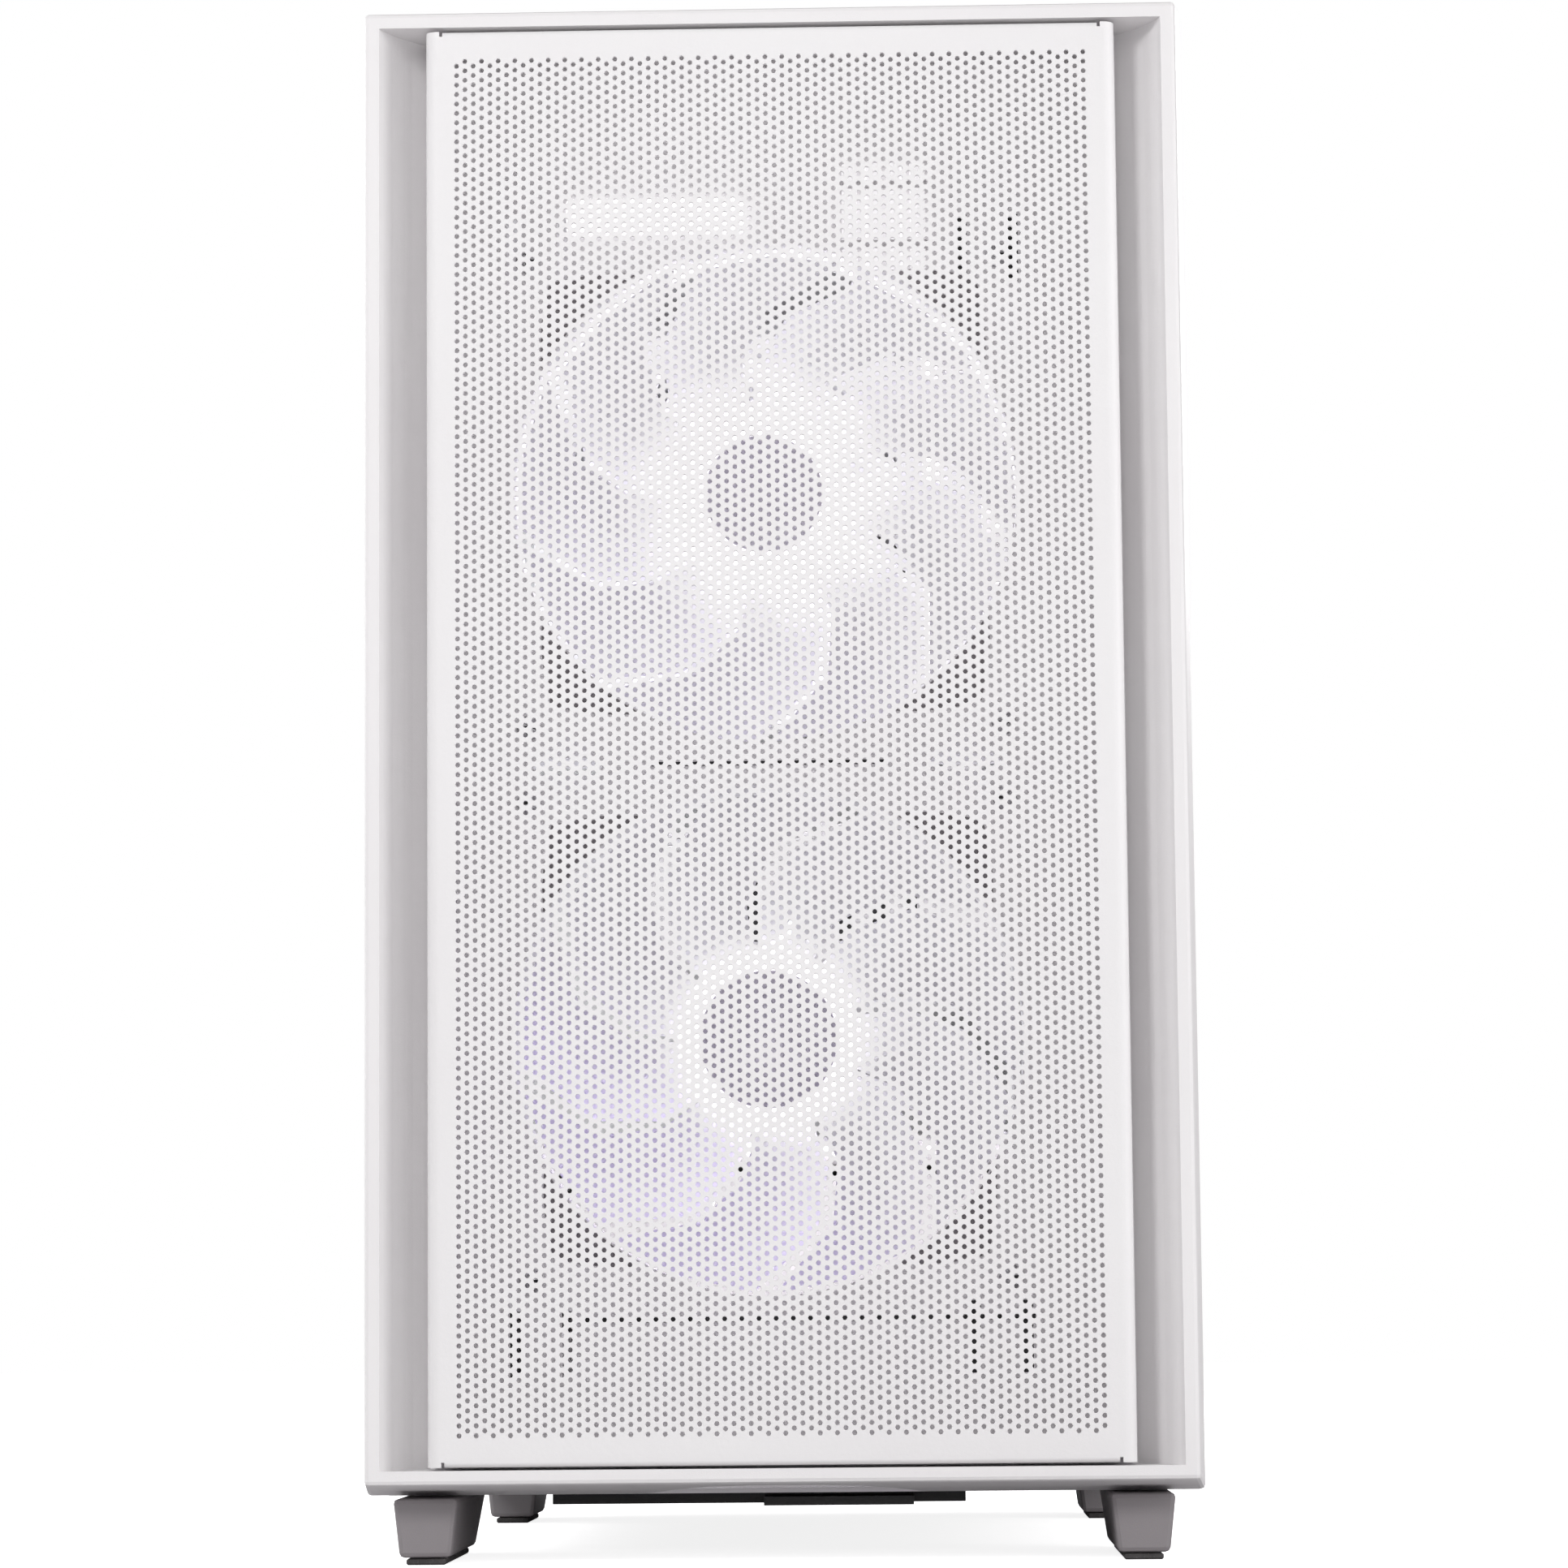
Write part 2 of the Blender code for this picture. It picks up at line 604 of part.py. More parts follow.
def make_front_plate():
    plate = box(
        "chassis_front_plate", (CHASSIS_LEFT, CHASSIS_RIGHT), (CHASSIS_FRONT, INSIDE_FRONT),
        (FLOOR_TOP + GAP, ROOF_UNDER - GAP), WHITE_PAINT)
    opening = FRONT_FAN_SIZE / 2 - FAN_WALL
    thick = SHEET + 2 * CUT
    middle_y = (CHASSIS_FRONT + INSIDE_FRONT) / 2
    for index, (x, z) in enumerate(fan_places()):
        hole = rod(f"fan_opening_{index}", "Y", (x, middle_y, z), opening, thick,
                   segments=DUCT_SEGMENTS)
        cut(plate, hole)
    web_z = (UPPER_FAN_Z + LOWER_FAN_Z) / 2
    for index, side in enumerate((-1, 1)):
        place = (FRONT_FAN_SHIFT + side * WEB_NOTCH_SHARE * opening, middle_y, web_z)
        cut(plate, rod(f"web_notch_{index}", "Y", place, WEB_NOTCH_RADIUS, thick, segments=4))
        for row, heights in enumerate(FAN_SLOT_ZS):
            for column, reach in enumerate(FAN_SLOT_XS):
                slot = box(
                    f"fan_slot_{index}_{row}_{column}",
                    around(FRONT_FAN_SHIFT + side * reach, FAN_SLOT_WIDTH),
                    around(middle_y, thick), heights)
                cut(plate, slot)
    return plate


def make_bottom_plate():
    return box(
        "chassis_bottom_plate", (CHASSIS_LEFT, CHASSIS_RIGHT), (CHASSIS_FRONT, REAR_INNER - GAP),
        (BOTTOM, FLOOR_TOP), WHITE_PAINT)


def make_top_plate():
    plate = box(
        "chassis_top_plate", (CHASSIS_LEFT, CHASSIS_RIGHT), (CHASSIS_FRONT, REAR_INNER - GAP),
        (ROOF_UNDER, ROOF_TOP), WHITE_PAINT)
    window = box(
        "front_io_window", around(IO_X, IO_LENGTH - 2 * IO_RIM + 2 * GAP),
        around(IO_Y, IO_DEPTH - 2 * IO_RIM + 2 * GAP), (ROOF_UNDER - CUT, ROOF_TOP + CUT))
    cut(plate, window)
    return plate


def make_rear_plate():
    plate = box(
        "chassis_rear_plate", (CHASSIS_LEFT, CHASSIS_RIGHT), (REAR_INNER, REAR_OUTER),
        (BOTTOM, ROOF_TOP), WHITE_PAINT)
    through = (REAR_INNER - CUT, REAR_OUTER + CUT)
    shield = box(
        "shield_opening", (SHIELD_X[0] - GAP, SHIELD_X[1] + GAP), through,
        (SHIELD_Z[0] - GAP, SHIELD_Z[1] + GAP))
    supply = box(
        "supply_opening", (PSU_X[0] + PSU_BORDER, PSU_X[1] - PSU_BORDER), through,
        (PSU_Z[0] + PSU_BORDER, PSU_Z[1] - PSU_BORDER))
    cut(plate, shield, supply)
    for index, z in enumerate(SLOT_ZS):
        slot = box(f"slot_opening_{index}", SLOT_X, through, around(z, SLOT_WIDTH))
        cut(plate, slot)
    middle_y = (REAR_INNER + REAR_OUTER) / 2
    outlet = rod(
        "outlet_opening", "Y", (REAR_FAN_X, middle_y, REAR_FAN_Z),
        SMALL_FAN_SIZE / 2 - FAN_WALL, SHEET + 2 * CUT, segments=DUCT_SEGMENTS)
    cut(plate, outlet)
    return plate


def make_tray():
    tray = box(
        "motherboard_tray", (TRAY_X, TRAY_X + SHEET), (INSIDE_FRONT + GAP, REAR_INNER - GAP),
        (FLOOR_TOP + GAP, ROOF_UNDER - GAP), WHITE_PAINT)
    through = (TRAY_X - CUT, TRAY_X + SHEET + CUT)
    grommet = box("grommet_cutter", through, around(GROMMET_Y, GROMMET_WIDTH), GROMMET_Z)
    lower = box("shroud_cable_cutter", through, SHROUD_CABLE_Y, SHROUD_CABLE_Z)
    backplate = box("backplate_cutter", through, around(CPU_Y, CPU_OPENING),
                    around(CPU_Z, CPU_OPENING))
    cut(tray, grommet, lower, backplate)
    return tray


def make_shroud():
    start = FAN_BACK + 2 * GAP
    right = TRAY_X - GAP
    top = box(
        "power_supply_shroud", (CHASSIS_LEFT, right), (start, REAR_INNER - GAP),
        (SHROUD_Z, SHROUD_Z + SHEET), WHITE_PAINT)
    wall = box(
        "shroud_wall", (CHASSIS_LEFT, CHASSIS_LEFT + SHEET), (start, REAR_INNER - GAP),
        (FLOOR_TOP + GAP, SHROUD_Z + SHEET / 2))
    fuse(top, wall)
    return top


def make_glass():
    pane = box(
        "glass_side_panel", (-HALF, LEFT_SKIN), (CHASSIS_FRONT, REAR_OUTER),
        (FLOOR_TOP + GAP, ROOF_TOP), GLASS)
    strip_x = (LEFT_SKIN + GAP, LEFT_SKIN + GAP + STRIP_THICKNESS)
    lip_y = (REAR_OUTER + GAP, REAR_OUTER + GAP + STRIP_THICKNESS)
    heights = (FLOOR_TOP + LIP_END_GAP, ROOF_TOP - LIP_END_GAP)
    strip = box("glass_edge_strip", strip_x, (REAR_OUTER - STRIP_LEG, lip_y[1]), heights, WHITE_PAINT)
    lip = box("strip_lip", (strip_x[0], strip_x[0] + REAR_LIP), lip_y, heights)
    fuse(strip, lip)
    return pane, strip


def make_steel_side():
    lip_y = (REAR_OUTER + GAP, REAR_OUTER + GAP + STRIP_THICKNESS)
    skin = box(
        "steel_side_panel", (RIGHT_SKIN, HALF), (CHASSIS_FRONT, lip_y[1]),
        (FLOOR_TOP + GAP, ROOF_TOP), WHITE_PAINT)
    lip = box(
        "steel_lip", (HALF - REAR_LIP, HALF - SIDE_SKIN / 2), lip_y,
        (FLOOR_TOP + LIP_END_GAP, ROOF_TOP - LIP_END_GAP))
    fuse(skin, lip)
    return skin


def make_thumbscrews():
    start = REAR_OUTER + 2 * GAP + STRIP_THICKNESS
    length = CASE_DEPTH / 2 - start
    glass_x = LEFT_SKIN + GAP + REAR_LIP / 2
    steel_x = HALF - REAR_LIP / 2 - SIDE_SKIN / 2
    made = []
    for side, x in (("glass", glass_x), ("steel", steel_x)):
        for place, z in zip(("lower", "upper"), THUMB_ZS):
            screw = rod(
                f"{side}_thumbscrew_{place}", "Y", (x, start + length / 2, z), THUMB_RADIUS,
                length, GREY_METAL, segments=THUMB_SEGMENTS)
            made.append(screw)
    return made


def make_top_filter():
    y = (CHASSIS_FRONT + TOP_FILTER_FRONT, CHASSIS_FRONT + TOP_FILTER_FRONT + TOP_FILTER_LENGTH)
    top = box("top_dust_filter", around(0, TOP_FILTER_WIDTH), y, (ROOF_TOP + GAP, CASE_TOP), WHITE_PLASTIC)
    return top


def make_bottom_filter():
    y = (FRONT + BOTTOM_FILTER_FRONT, FRONT + BOTTOM_FILTER_FRONT + BOTTOM_FILTER_LENGTH)
    z = (BOTTOM - GAP - BOTTOM_FILTER_THICKNESS, BOTTOM - GAP)
    tray = box("bottom_dust_filter", around(BOTTOM_FILTER_SHIFT, BOTTOM_FILTER_WIDTH), y, z, DARK_PLASTIC)
    tab = box(
        "filter_tab", around(BOTTOM_FILTER_SHIFT + FILTER_TAB_SHIFT, FILTER_TAB_WIDTH),
        (y[0] - FILTER_TAB_LENGTH, y[0] + CUT), (z[0], z[0] + BOTTOM_FILTER_THICKNESS / 2))
    fuse(tray, tab)
    return tray


def make_feet():
    top = BOTTOM - GAP
    start = PAD_THICKNESS + GAP
    for front, length in (("front", FRONT_FOOT_LENGTH), ("rear", REAR_FOOT_LENGTH)):
        face = FRONT + FOOT_FRONT_SETBACK + (0 if front == "front" else FOOT_SPACING)
        for side, sign in (("left", -1), ("right", 1)):
            x = sign * FOOT_CENTRE_X
            foot = box(
                f"{front}_{side}_foot", around(x, FOOT_TOP_WIDTH), (face, face + length),
                (start, top), WHITE_PLASTIC)
            for vert in foot.data.vertices:
                if vert.co.z < 0:
                    vert.co.x = math.copysign(FOOT_BOTTOM_WIDTH / 2, vert.co.x)
                    vert.co.y = min(vert.co.y, length / 2 - FOOT_HEEL)
            round_edges(foot, FOOT_EDGE)
            pad = box(
                f"{front}_{side}_foot_pad", around(x, FOOT_BOTTOM_WIDTH - 2 * PAD_INSET),
                (face + PAD_INSET, face + length - FOOT_HEEL - PAD_INSET), (0, PAD_THICKNESS), RUBBER)
            round_edges(pad, PAD_THICKNESS / 4, segments=1)


# ---------------------------------------------------------------- fans


def rotor_mesh(name, radius, hub_radius, depth, blades, sweep, paint):
    """A hub and its curved blades about the local Z axis, in one body."""
    bm = bmesh.new()
    bmesh.ops.create_cone(
        bm, cap_ends=True, segments=HUB_SEGMENTS, radius1=hub_radius, radius2=hub_radius, depth=depth)
    hub = from_bmesh(name, bm, paint, (0, 0, 0))
    bm = bmesh.new()
    inner = hub_radius * BLADE_ROOT_SHARE
    chord = math.pi / blades * BLADE_COVER
    for blade in range(blades):
        start = 2 * math.pi * blade / blades
        made = bmesh.ops.create_grid(bm, x_segments=BLADE_SPANS, y_segments=BLADE_CHORDS, size=1)
        for vert in made["verts"]:
            out = (vert.co.x + 1) / 2
            along = vert.co.y
            r = inner + (radius - inner) * out
            angle = start + sweep * out * out + along * chord
            height = -along * depth * BLADE_RISE * (1 - BLADE_FLATTENING * out)
            vert.co = (r * math.cos(angle), r * math.sin(angle), height)
    wings = from_bmesh(name + "_blades", bm, None, (0, 0, 0))
    thick = wings.modifiers.new("blade_thickness", "SOLIDIFY")
    thick.thickness = BLADE_THICKNESS
    thick.offset = 0
    fuse(hub, wings)
    return hub


def place_along(item, axis, centre):
    """Turns a piece made about its local Z axis so that Z lies along the named axis."""
    turn = AXIS_TURNS[axis].to_euler()
    for piece in (item, *[step.object for step in item.modifiers if step.type == "BOOLEAN"]):
        piece.rotation_euler = turn
        piece.location = centre


def make_fan(name, size, centre, axis, hub_radius, blades, paint=FAN_PLASTIC):
    """A square fan whose face looks down the axis and whose motor sits on struts at the back."""
    half = size / 2
    depth = FAN_THICKNESS
    frame = box(name + "_frame", (-half, half), (-half, half), (-depth / 2, -depth / 2 + FAN_FLANGE), paint)
    duct = rod(name + "_duct", "Z", (0, 0, 0), half - GAP, depth - GAP, segments=DUCT_SEGMENTS)
    back = box(name + "_flange", (-half, half), (-half, half), (depth / 2 - FAN_FLANGE, depth / 2))
    bore = rod(
        name + "_bore", "Z", (0, 0, 0), half - FAN_WALL, depth + 2 * CUT, segments=DUCT_SEGMENTS)
    frame.location = (0, 0, 0)
    for vert in frame.data.vertices:
        vert.co.z += -depth / 2 + FAN_FLANGE / 2
    fuse(frame, duct, back)
    cut(frame, bore)
    share = FAN_HOLE_SHARE_140 if size == FRONT_FAN_SIZE else FAN_HOLE_SHARE_120
    reach = half * share
    for index, (u, v) in enumerate(((-1, -1), (-1, 1), (1, -1), (1, 1))):
        hole = rod(
            f"{name}_screw_hole_{index}", "Z", (u * reach, v * reach, 0), FAN_SCREW_RADIUS,
            depth + 2 * CUT, segments=SCREW_SEGMENTS)
        cut(frame, hole)
    strut_z = depth / 2 - FAN_STRUT / 2
    for index, turn in enumerate((STRUT_TURN, STRUT_TURN + math.pi / 2)):
        strut = box(
            f"{name}_strut_{index}", (-half + FAN_WALL / 2, half - FAN_WALL / 2),
            (-FAN_STRUT / 2, FAN_STRUT / 2), (strut_z - FAN_STRUT / 2 + GAP, strut_z + FAN_STRUT / 2 - GAP))
        for vert in strut.data.vertices:
            vert.co.z += strut.location.z
        strut.location = (0, 0, 0)
        strut.data.transform(Matrix.Rotation(turn, 4, "Z"))
        fuse(frame, strut)
    motor = rod(name + "_motor", "Z", (0, 0, strut_z), hub_radius * MOTOR_SHARE, FAN_STRUT - GAP / 2)
    fuse(frame, motor)
    place = Matrix.Translation(centre) @ AXIS_TURNS[axis]
    settle(frame, place)
    rotor_depth = depth - ROTOR_SETBACK - FAN_STRUT - GAP
    rotor = rotor_mesh(
        name + "_rotor", half - FAN_WALL - TIP_CLEARANCE, hub_radius, rotor_depth, blades, BLADE_SWEEP,
        paint)
    middle = -depth / 2 + ROTOR_SETBACK + rotor_depth / 2
    settle(rotor, place @ Matrix.Translation((0, 0, middle)))
    return frame, rotor


def settle(item, place):
    """Sets a piece, with the helpers that shape it, at a place given for its own origin."""
    for step in item.modifiers:
        if step.type == "BOOLEAN":
            step.object.matrix_world = place @ step.object.matrix_basis
    item.matrix_world = place @ item.matrix_basis


def make_case_fans():
    middle = (FAN_FACE + FAN_BACK) / 2
    for place, (x, z) in zip(("upper", "lower"), fan_places()):
        make_fan(f"front_fan_{place}", FRONT_FAN_SIZE, (x, middle, z), "Y",
                 FRONT_HUB_RADIUS, FAN_BLADES)
    rear = REAR_INNER - GAP - FAN_THICKNESS / 2
    make_fan("rear_fan", SMALL_FAN_SIZE, (REAR_FAN_X, rear, REAR_FAN_Z), "Y", SMALL_HUB_RADIUS,
             FAN_BLADES)


# ---------------------------------------------------------------- inside


def make_board():
    z = (BOARD_TOP - BOARD_SIZE, BOARD_TOP)
    board = box("motherboard", (BOARD_FACE, BOARD_RIGHT), (BOARD_FRONT_Y, BOARD_BACK_Y), z, BOARD_COLOUR)
    for index, (y, height) in enumerate(STANDOFF_PLACES):
        post = rod(
            f"standoff_{index}", "X", (BOARD_RIGHT + STANDOFF / 2 - GAP, y, height),
            STANDOFF_RADIUS, STANDOFF, segments=STANDOFF_SIDES)
        fuse(board, post)
    return board


def make_board_parts(board):
    """The ports are soldered to the board and the two heatsinks are screwed down on it."""
    inset = BOARD_FACE + BOARD_THICKNESS / 2
    shield_y = (REAR_INNER - PORTS_TO_SHIELD, REAR_OUTER)
    shield = box("rear_io_shield", SHIELD_X, shield_y, SHIELD_Z, GREY_METAL)
    hollow = box(
        "shield_hollow", (SHIELD_X[0] + MM, SHIELD_X[1] - MM), (shield_y[0] - CUT, REAR_OUTER - MM),
        (SHIELD_Z[0] + MM, SHIELD_Z[1] - MM))
    cut(shield, hollow)
    ports_y = (shield_y[0] - GAP - PORTS_DEPTH, shield_y[0] - GAP)
    ports = box(
        "rear_io_ports", (SHIELD_X[0] + PORTS_INSET, inset), ports_y, around(sum(SHIELD_Z) / 2, PORTS_LENGTH))
    sink_y = (ports_y[0] - GAP - SINK_DEPTH, ports_y[0] - GAP)
    sink = box("power_stage_heatsink", (BOARD_FACE - SINK_HEIGHT, inset), sink_y,
               around(CPU_Z, SINK_LENGTH))
    for index in range(SINK_SLOTS):
        z = CPU_Z + (index - (SINK_SLOTS - 1) / 2) * SINK_SLOT_PITCH
        slot = box(
            f"sink_slot_{index}", (BOARD_FACE - SINK_HEIGHT - CUT, BOARD_FACE - SINK_SLOT_DEPTH),
            (sink_y[0] - CUT, sink_y[0] + SINK_SLOT_DEPTH), around(z, SINK_SLOT_WIDTH))
        cut(sink, slot)
    chip = box("chipset_heatsink", (BOARD_FACE - CHIP_SINK_HEIGHT, inset), CHIP_SINK_Y,
               CHIP_SINK_Z)
    fuse(board, ports, sink, chip)
    face = BOARD_FACE - GAP
    for index, y in enumerate(MEMORY_YS):
        module = box(
            f"memory_module_{index + 1}", (face - MEMORY_HEIGHT, face),
            around(y, MEMORY_THICKNESS), around(CPU_Z, MEMORY_LENGTH), WHITE_PAINT)
        round_edges(module, MEMORY_EDGE, segments=1)


def make_cooler():
    face = BOARD_FACE - GAP
    base = box(
        "processor_cooler", (face - COOLER_BASE_HEIGHT, face), around(CPU_Y, COOLER_BASE_WIDTH),
        around(CPU_Z, COOLER_BASE_WIDTH), ALUMINIUM)
    low, high = COOLER_FINS_X
    step = (high - low - COOLER_PLATE) / (COOLER_PLATES - 1)
    reach = face - PIPE_TOP_GAP - low - PIPE_END
    for index in range(PIPES):
        z = CPU_Z + (index - (PIPES - 1) / 2) * PIPE_SPACING
        pipe = rod(
            f"heat_pipe_{index}", "X", (low + PIPE_END + reach / 2, CPU_Y, z), PIPE_RADIUS,
            reach, segments=PIPE_SEGMENTS)
        fuse(base, pipe)
    for index in range(COOLER_PLATES):
        x = low + index * step
        plate = box(
            f"cooling_plate_{index}", (x, x + COOLER_PLATE), around(CPU_Y, COOLER_DEPTH),
            around(CPU_Z, SMALL_FAN_SIZE - COOLER_SETBACK))
        fuse(base, plate)
    fan_y = CPU_Y - COOLER_DEPTH / 2 - COOLER_FAN_GAP - FAN_THICKNESS / 2
    fan_x = (low + high) / 2
    make_fan("processor_fan", SMALL_FAN_SIZE, (fan_x, fan_y, CPU_Z), "Y", SMALL_HUB_RADIUS,
             FAN_BLADES)
    return base


def make_graphics_card():
    face = BOARD_FACE - CARD_CONTACT_GAP
    top_z = SLOT_ZS[0] + CARD_ABOVE_SLOT
    back = REAR_INNER - GAP
    length = (back - BOARD_THICKNESS - CARD_LENGTH, back - BOARD_THICKNESS)
    x = (face - CARD_HEIGHT, face)
    under = top_z - BOARD_THICKNESS - GAP
    bottom = under - CARD_COOLER_THICKNESS
    box("graphics_card_board", x, length, (top_z - BOARD_THICKNESS, top_z), BOARD_COLOUR)
    shroud_x = (x[0] - CARD_OVERHANG, x[1] - CARD_CONTACT_STRIP)
    shroud = box(
        "graphics_card_cooler", shroud_x, (length[0] - CARD_OVERHANG, length[1] - CARD_REAR_STRIP),
        (bottom, under), WHITE_PLASTIC)
    round_edges(shroud, CARD_EDGE)
    middle_x = sum(shroud_x) / 2
    middle_y = sum(length) / 2 - CARD_FANS_SHIFT
    for index, side in enumerate((-1, 1)):
        y = middle_y + side * CARD_FAN_SPACING / 2
        well = rod(
            f"card_fan_well_{index}", "Z", (middle_x, y, bottom), CARD_FAN_RADIUS + CARD_FAN_CLEARANCE,
            2 * (CARD_FAN_DEPTH + MM), segments=DUCT_SEGMENTS)
        cut(shroud, well)
        rotor = rotor_mesh(
            f"graphics_card_rotor_{index + 1}", CARD_FAN_RADIUS, CARD_HUB_RADIUS, CARD_FAN_DEPTH,
            FAN_BLADES, FLAT_BLADE_SWEEP, FAN_PLASTIC)
        place_along(rotor, "Z", (middle_x, y, bottom + CARD_FAN_DEPTH / 2 + MM - GAP))
    cover_x = (SLOT_X[0] - COVER_OVERLAP, SLOT_X[1] - MM)
    bracket_z = (SLOT_ZS[1] - BRACKET_WIDTH / 2, SLOT_ZS[0] + BRACKET_WIDTH / 2)
    box("graphics_card_bracket", cover_x, (length[1] + GAP, back), bracket_z, GREY_METAL)
    for index, z in enumerate(SLOT_ZS[2:]):
        box(f"slot_cover_{index + 1}", cover_x, (back - SHEET, back), around(z, BRACKET_WIDTH),
            WHITE_PAINT)


def make_power_supply():
    case = box("power_supply", PSU_X, PSU_Y, PSU_Z, WHITE_PAINT)
    centre_x = (PSU_X[0] + PSU_X[1]) / 2
    centre_y = (PSU_Y[0] + PSU_Y[1]) / 2 - PSU_FAN_SHIFT
    well = rod(
        "supply_fan_well", "Z", (centre_x, centre_y, PSU_Z[0]), PSU_FAN_RADIUS + PSU_FAN_CLEARANCE,
        2 * PSU_WELL_DEPTH, segments=DUCT_SEGMENTS)
    cut(case, well)
    recess_y = (PSU_Y[1] - INLET_DEPTH - POCKET_DEPTH, PSU_Y[1] + CUT)
    socket = box("inlet_pocket", around(INLET_X, INLET_SIZE[0] + 2 * GAP), recess_y,
                 around(SUPPLY_TOP_ROW, INLET_SIZE[1] + 2 * GAP))
    switch = box("rocker_pocket", around(SWITCH_X, ROCKER_SIZE[0] + ROCKER_PLAY), recess_y,
                 around(SUPPLY_TOP_ROW, ROCKER_SIZE[1] + ROCKER_PLAY))
    cut(case, socket, switch)
    rotor = rotor_mesh(
        "power_supply_rotor", PSU_FAN_RADIUS, SMALL_HUB_RADIUS, PSU_ROTOR_DEPTH, SUPPLY_BLADES,
        FLAT_BLADE_SWEEP, DARK_PLASTIC)
    rotor_z = PSU_Z[0] + PSU_WELL_DEPTH - GAP - PSU_ROTOR_DEPTH / 2
    place_along(rotor, "Z", (centre_x, centre_y, rotor_z))
    inlet = box("power_inlet", around(INLET_X, INLET_SIZE[0]),
                (PSU_Y[1] - INLET_DEPTH - INLET_FLOOR, PSU_Y[1]),
                around(SUPPLY_TOP_ROW, INLET_SIZE[1]), DARK_PLASTIC)
    mouth = box("inlet_mouth", around(INLET_X, INLET_HOLE[0]), (PSU_Y[1] - INLET_DEPTH, PSU_Y[1] + CUT),
                around(SUPPLY_TOP_ROW, INLET_HOLE[1]))
    cut(inlet, mouth)
    rocker = rod(
        "power_rocker_switch", "Z", (SWITCH_X, PSU_Y[1] - ROCKER_THICKNESS, SUPPLY_TOP_ROW),
        ROCKER_SIZE[0] / 2, ROCKER_SIZE[1], DARK_PLASTIC)
    face = box(
        "rocker_face", around(SWITCH_X, 2 * ROCKER_SIZE[0]),
        (PSU_Y[1] - ROCKER_THICKNESS + ROCKER_FACE, PSU_Y[1] + 3 * ROCKER_SIZE[0]),
        around(SUPPLY_TOP_ROW, 2 * ROCKER_SIZE[1]))
    face.rotation_euler.z = math.radians(ROCKER_TILT / 2)
    cut(rocker, face)


def make_drives():
    cage = box("drive_cage", CAGE_X, CAGE_Y, CAGE_Z, WHITE_PAINT)
    inner = box(
        "cage_space", (CAGE_X[0] + SHEET, CAGE_X[1] - SHEET), (CAGE_Y[0] - CUT, CAGE_Y[1] + CUT),
        (CAGE_Z[0] + SHEET, CAGE_Z[1] - SHEET))
    cut(cage, inner)
    middle_y = (CAGE_Y[0] + CAGE_Y[1]) / 2
    bottom = CAGE_Z[0] + SHEET + GAP
    drive = box("hard_drive", around(0, DRIVE_SIZE[0]), around(middle_y, DRIVE_SIZE[1]),
                (bottom, bottom + DRIVE_SIZE[2]), ALUMINIUM)
    round_edges(drive, DRIVE_EDGE, segments=1)


# ---------------------------------------------------------------- controls on the roof


def make_front_io():
    top = CASE_TOP - IO_BELOW_TOP
    deep = 2 * BUTTON_DEPTH
    through = 2 * (PORT_DEPTH + CUT)
    shell_z = (top - PORT_DEPTH - CUT + GAP, top)
    space_z = (top - PORT_DEPTH, top + CUT)
    housing = box("front_io_housing", around(IO_X, IO_LENGTH), around(IO_Y, IO_DEPTH),
                  (ROOF_TOP + GAP, top), WHITE_PLASTIC)
    body = box(
        "io_body", around(IO_X, IO_LENGTH - 2 * IO_RIM), around(IO_Y, IO_DEPTH - 2 * IO_RIM),
        (ROOF_TOP - IO_BODY_HEIGHT, top - IO_PLATE / 4))
    fuse(housing, body)
    power_hole = rod("power_hole", "Z", (POWER_X, IO_Y, top), POWER_RADIUS + BUTTON_CLEARANCE, deep)
    reset_hole = rod("reset_hole", "Z", (RESET_X, IO_Y, top), RESET_RADIUS + BUTTON_CLEARANCE, deep,
                     segments=RESET_SEGMENTS)
    cut(housing, power_hole, reset_hole)
    sockets = [(f"usb_port_{index + 1}", x, USB_A_SIZE) for index, x in enumerate(USB_A_XS)]
    for name, x, size in sockets + [("usb_c_port", USB_C_X, USB_C_SIZE)]:
        hole = box(name + "_hole", around(x, size[0] + 2 * GAP), around(IO_Y, size[1] + 2 * GAP),
                   around(top, through))
        cut(housing, hole)
        shell = box(name, around(x, size[0]), around(IO_Y, size[1]), shell_z, GREY_METAL)
        space = box(name + "_space", around(x, size[0] - 2 * PORT_WALL),
                    around(IO_Y, size[1] - 2 * PORT_WALL), space_z)
        cut(shell, space)
    jack_length = shell_z[1] - shell_z[0]
    jack_hole = rod("jack_hole", "Z", (AUDIO_X, IO_Y, top), AUDIO_RADIUS + GAP, through)
    cut(housing, jack_hole)
    jack = rod("audio_jack", "Z", (AUDIO_X, IO_Y, top - jack_length / 2), AUDIO_RADIUS, jack_length,
               DARK_PLASTIC)
    cut(jack, rod("jack_bore", "Z", (AUDIO_X, IO_Y, top), AUDIO_BORE, 2 * PORT_DEPTH,
                  segments=AUDIO_BORE_SEGMENTS))
    low = top - BUTTON_DEPTH + BUTTON_TRAVEL + GAP
    for name, x, radius, proud in (("power_button", POWER_X, POWER_RADIUS, BUTTON_PROUD),
                                   ("reset_button", RESET_X, RESET_RADIUS, -RESET_SUNK)):
        height = top + proud - low
        button = rod(name, "Z", (x, IO_Y, low + height / 2), radius, height, WHITE_PLASTIC)
        round_edges(button, BUTTON_EDGE)


# ---------------------------------------------------------------- cables


def make_cables():
    wire("front_io_cable", IO_CABLE_ROUTE, IO_CABLE_RADIUS, WHITE_PLASTIC)
    wire("main_board_cable", MAIN_CABLE_ROUTE, MAIN_CABLE_RADIUS, WHITE_PLASTIC)


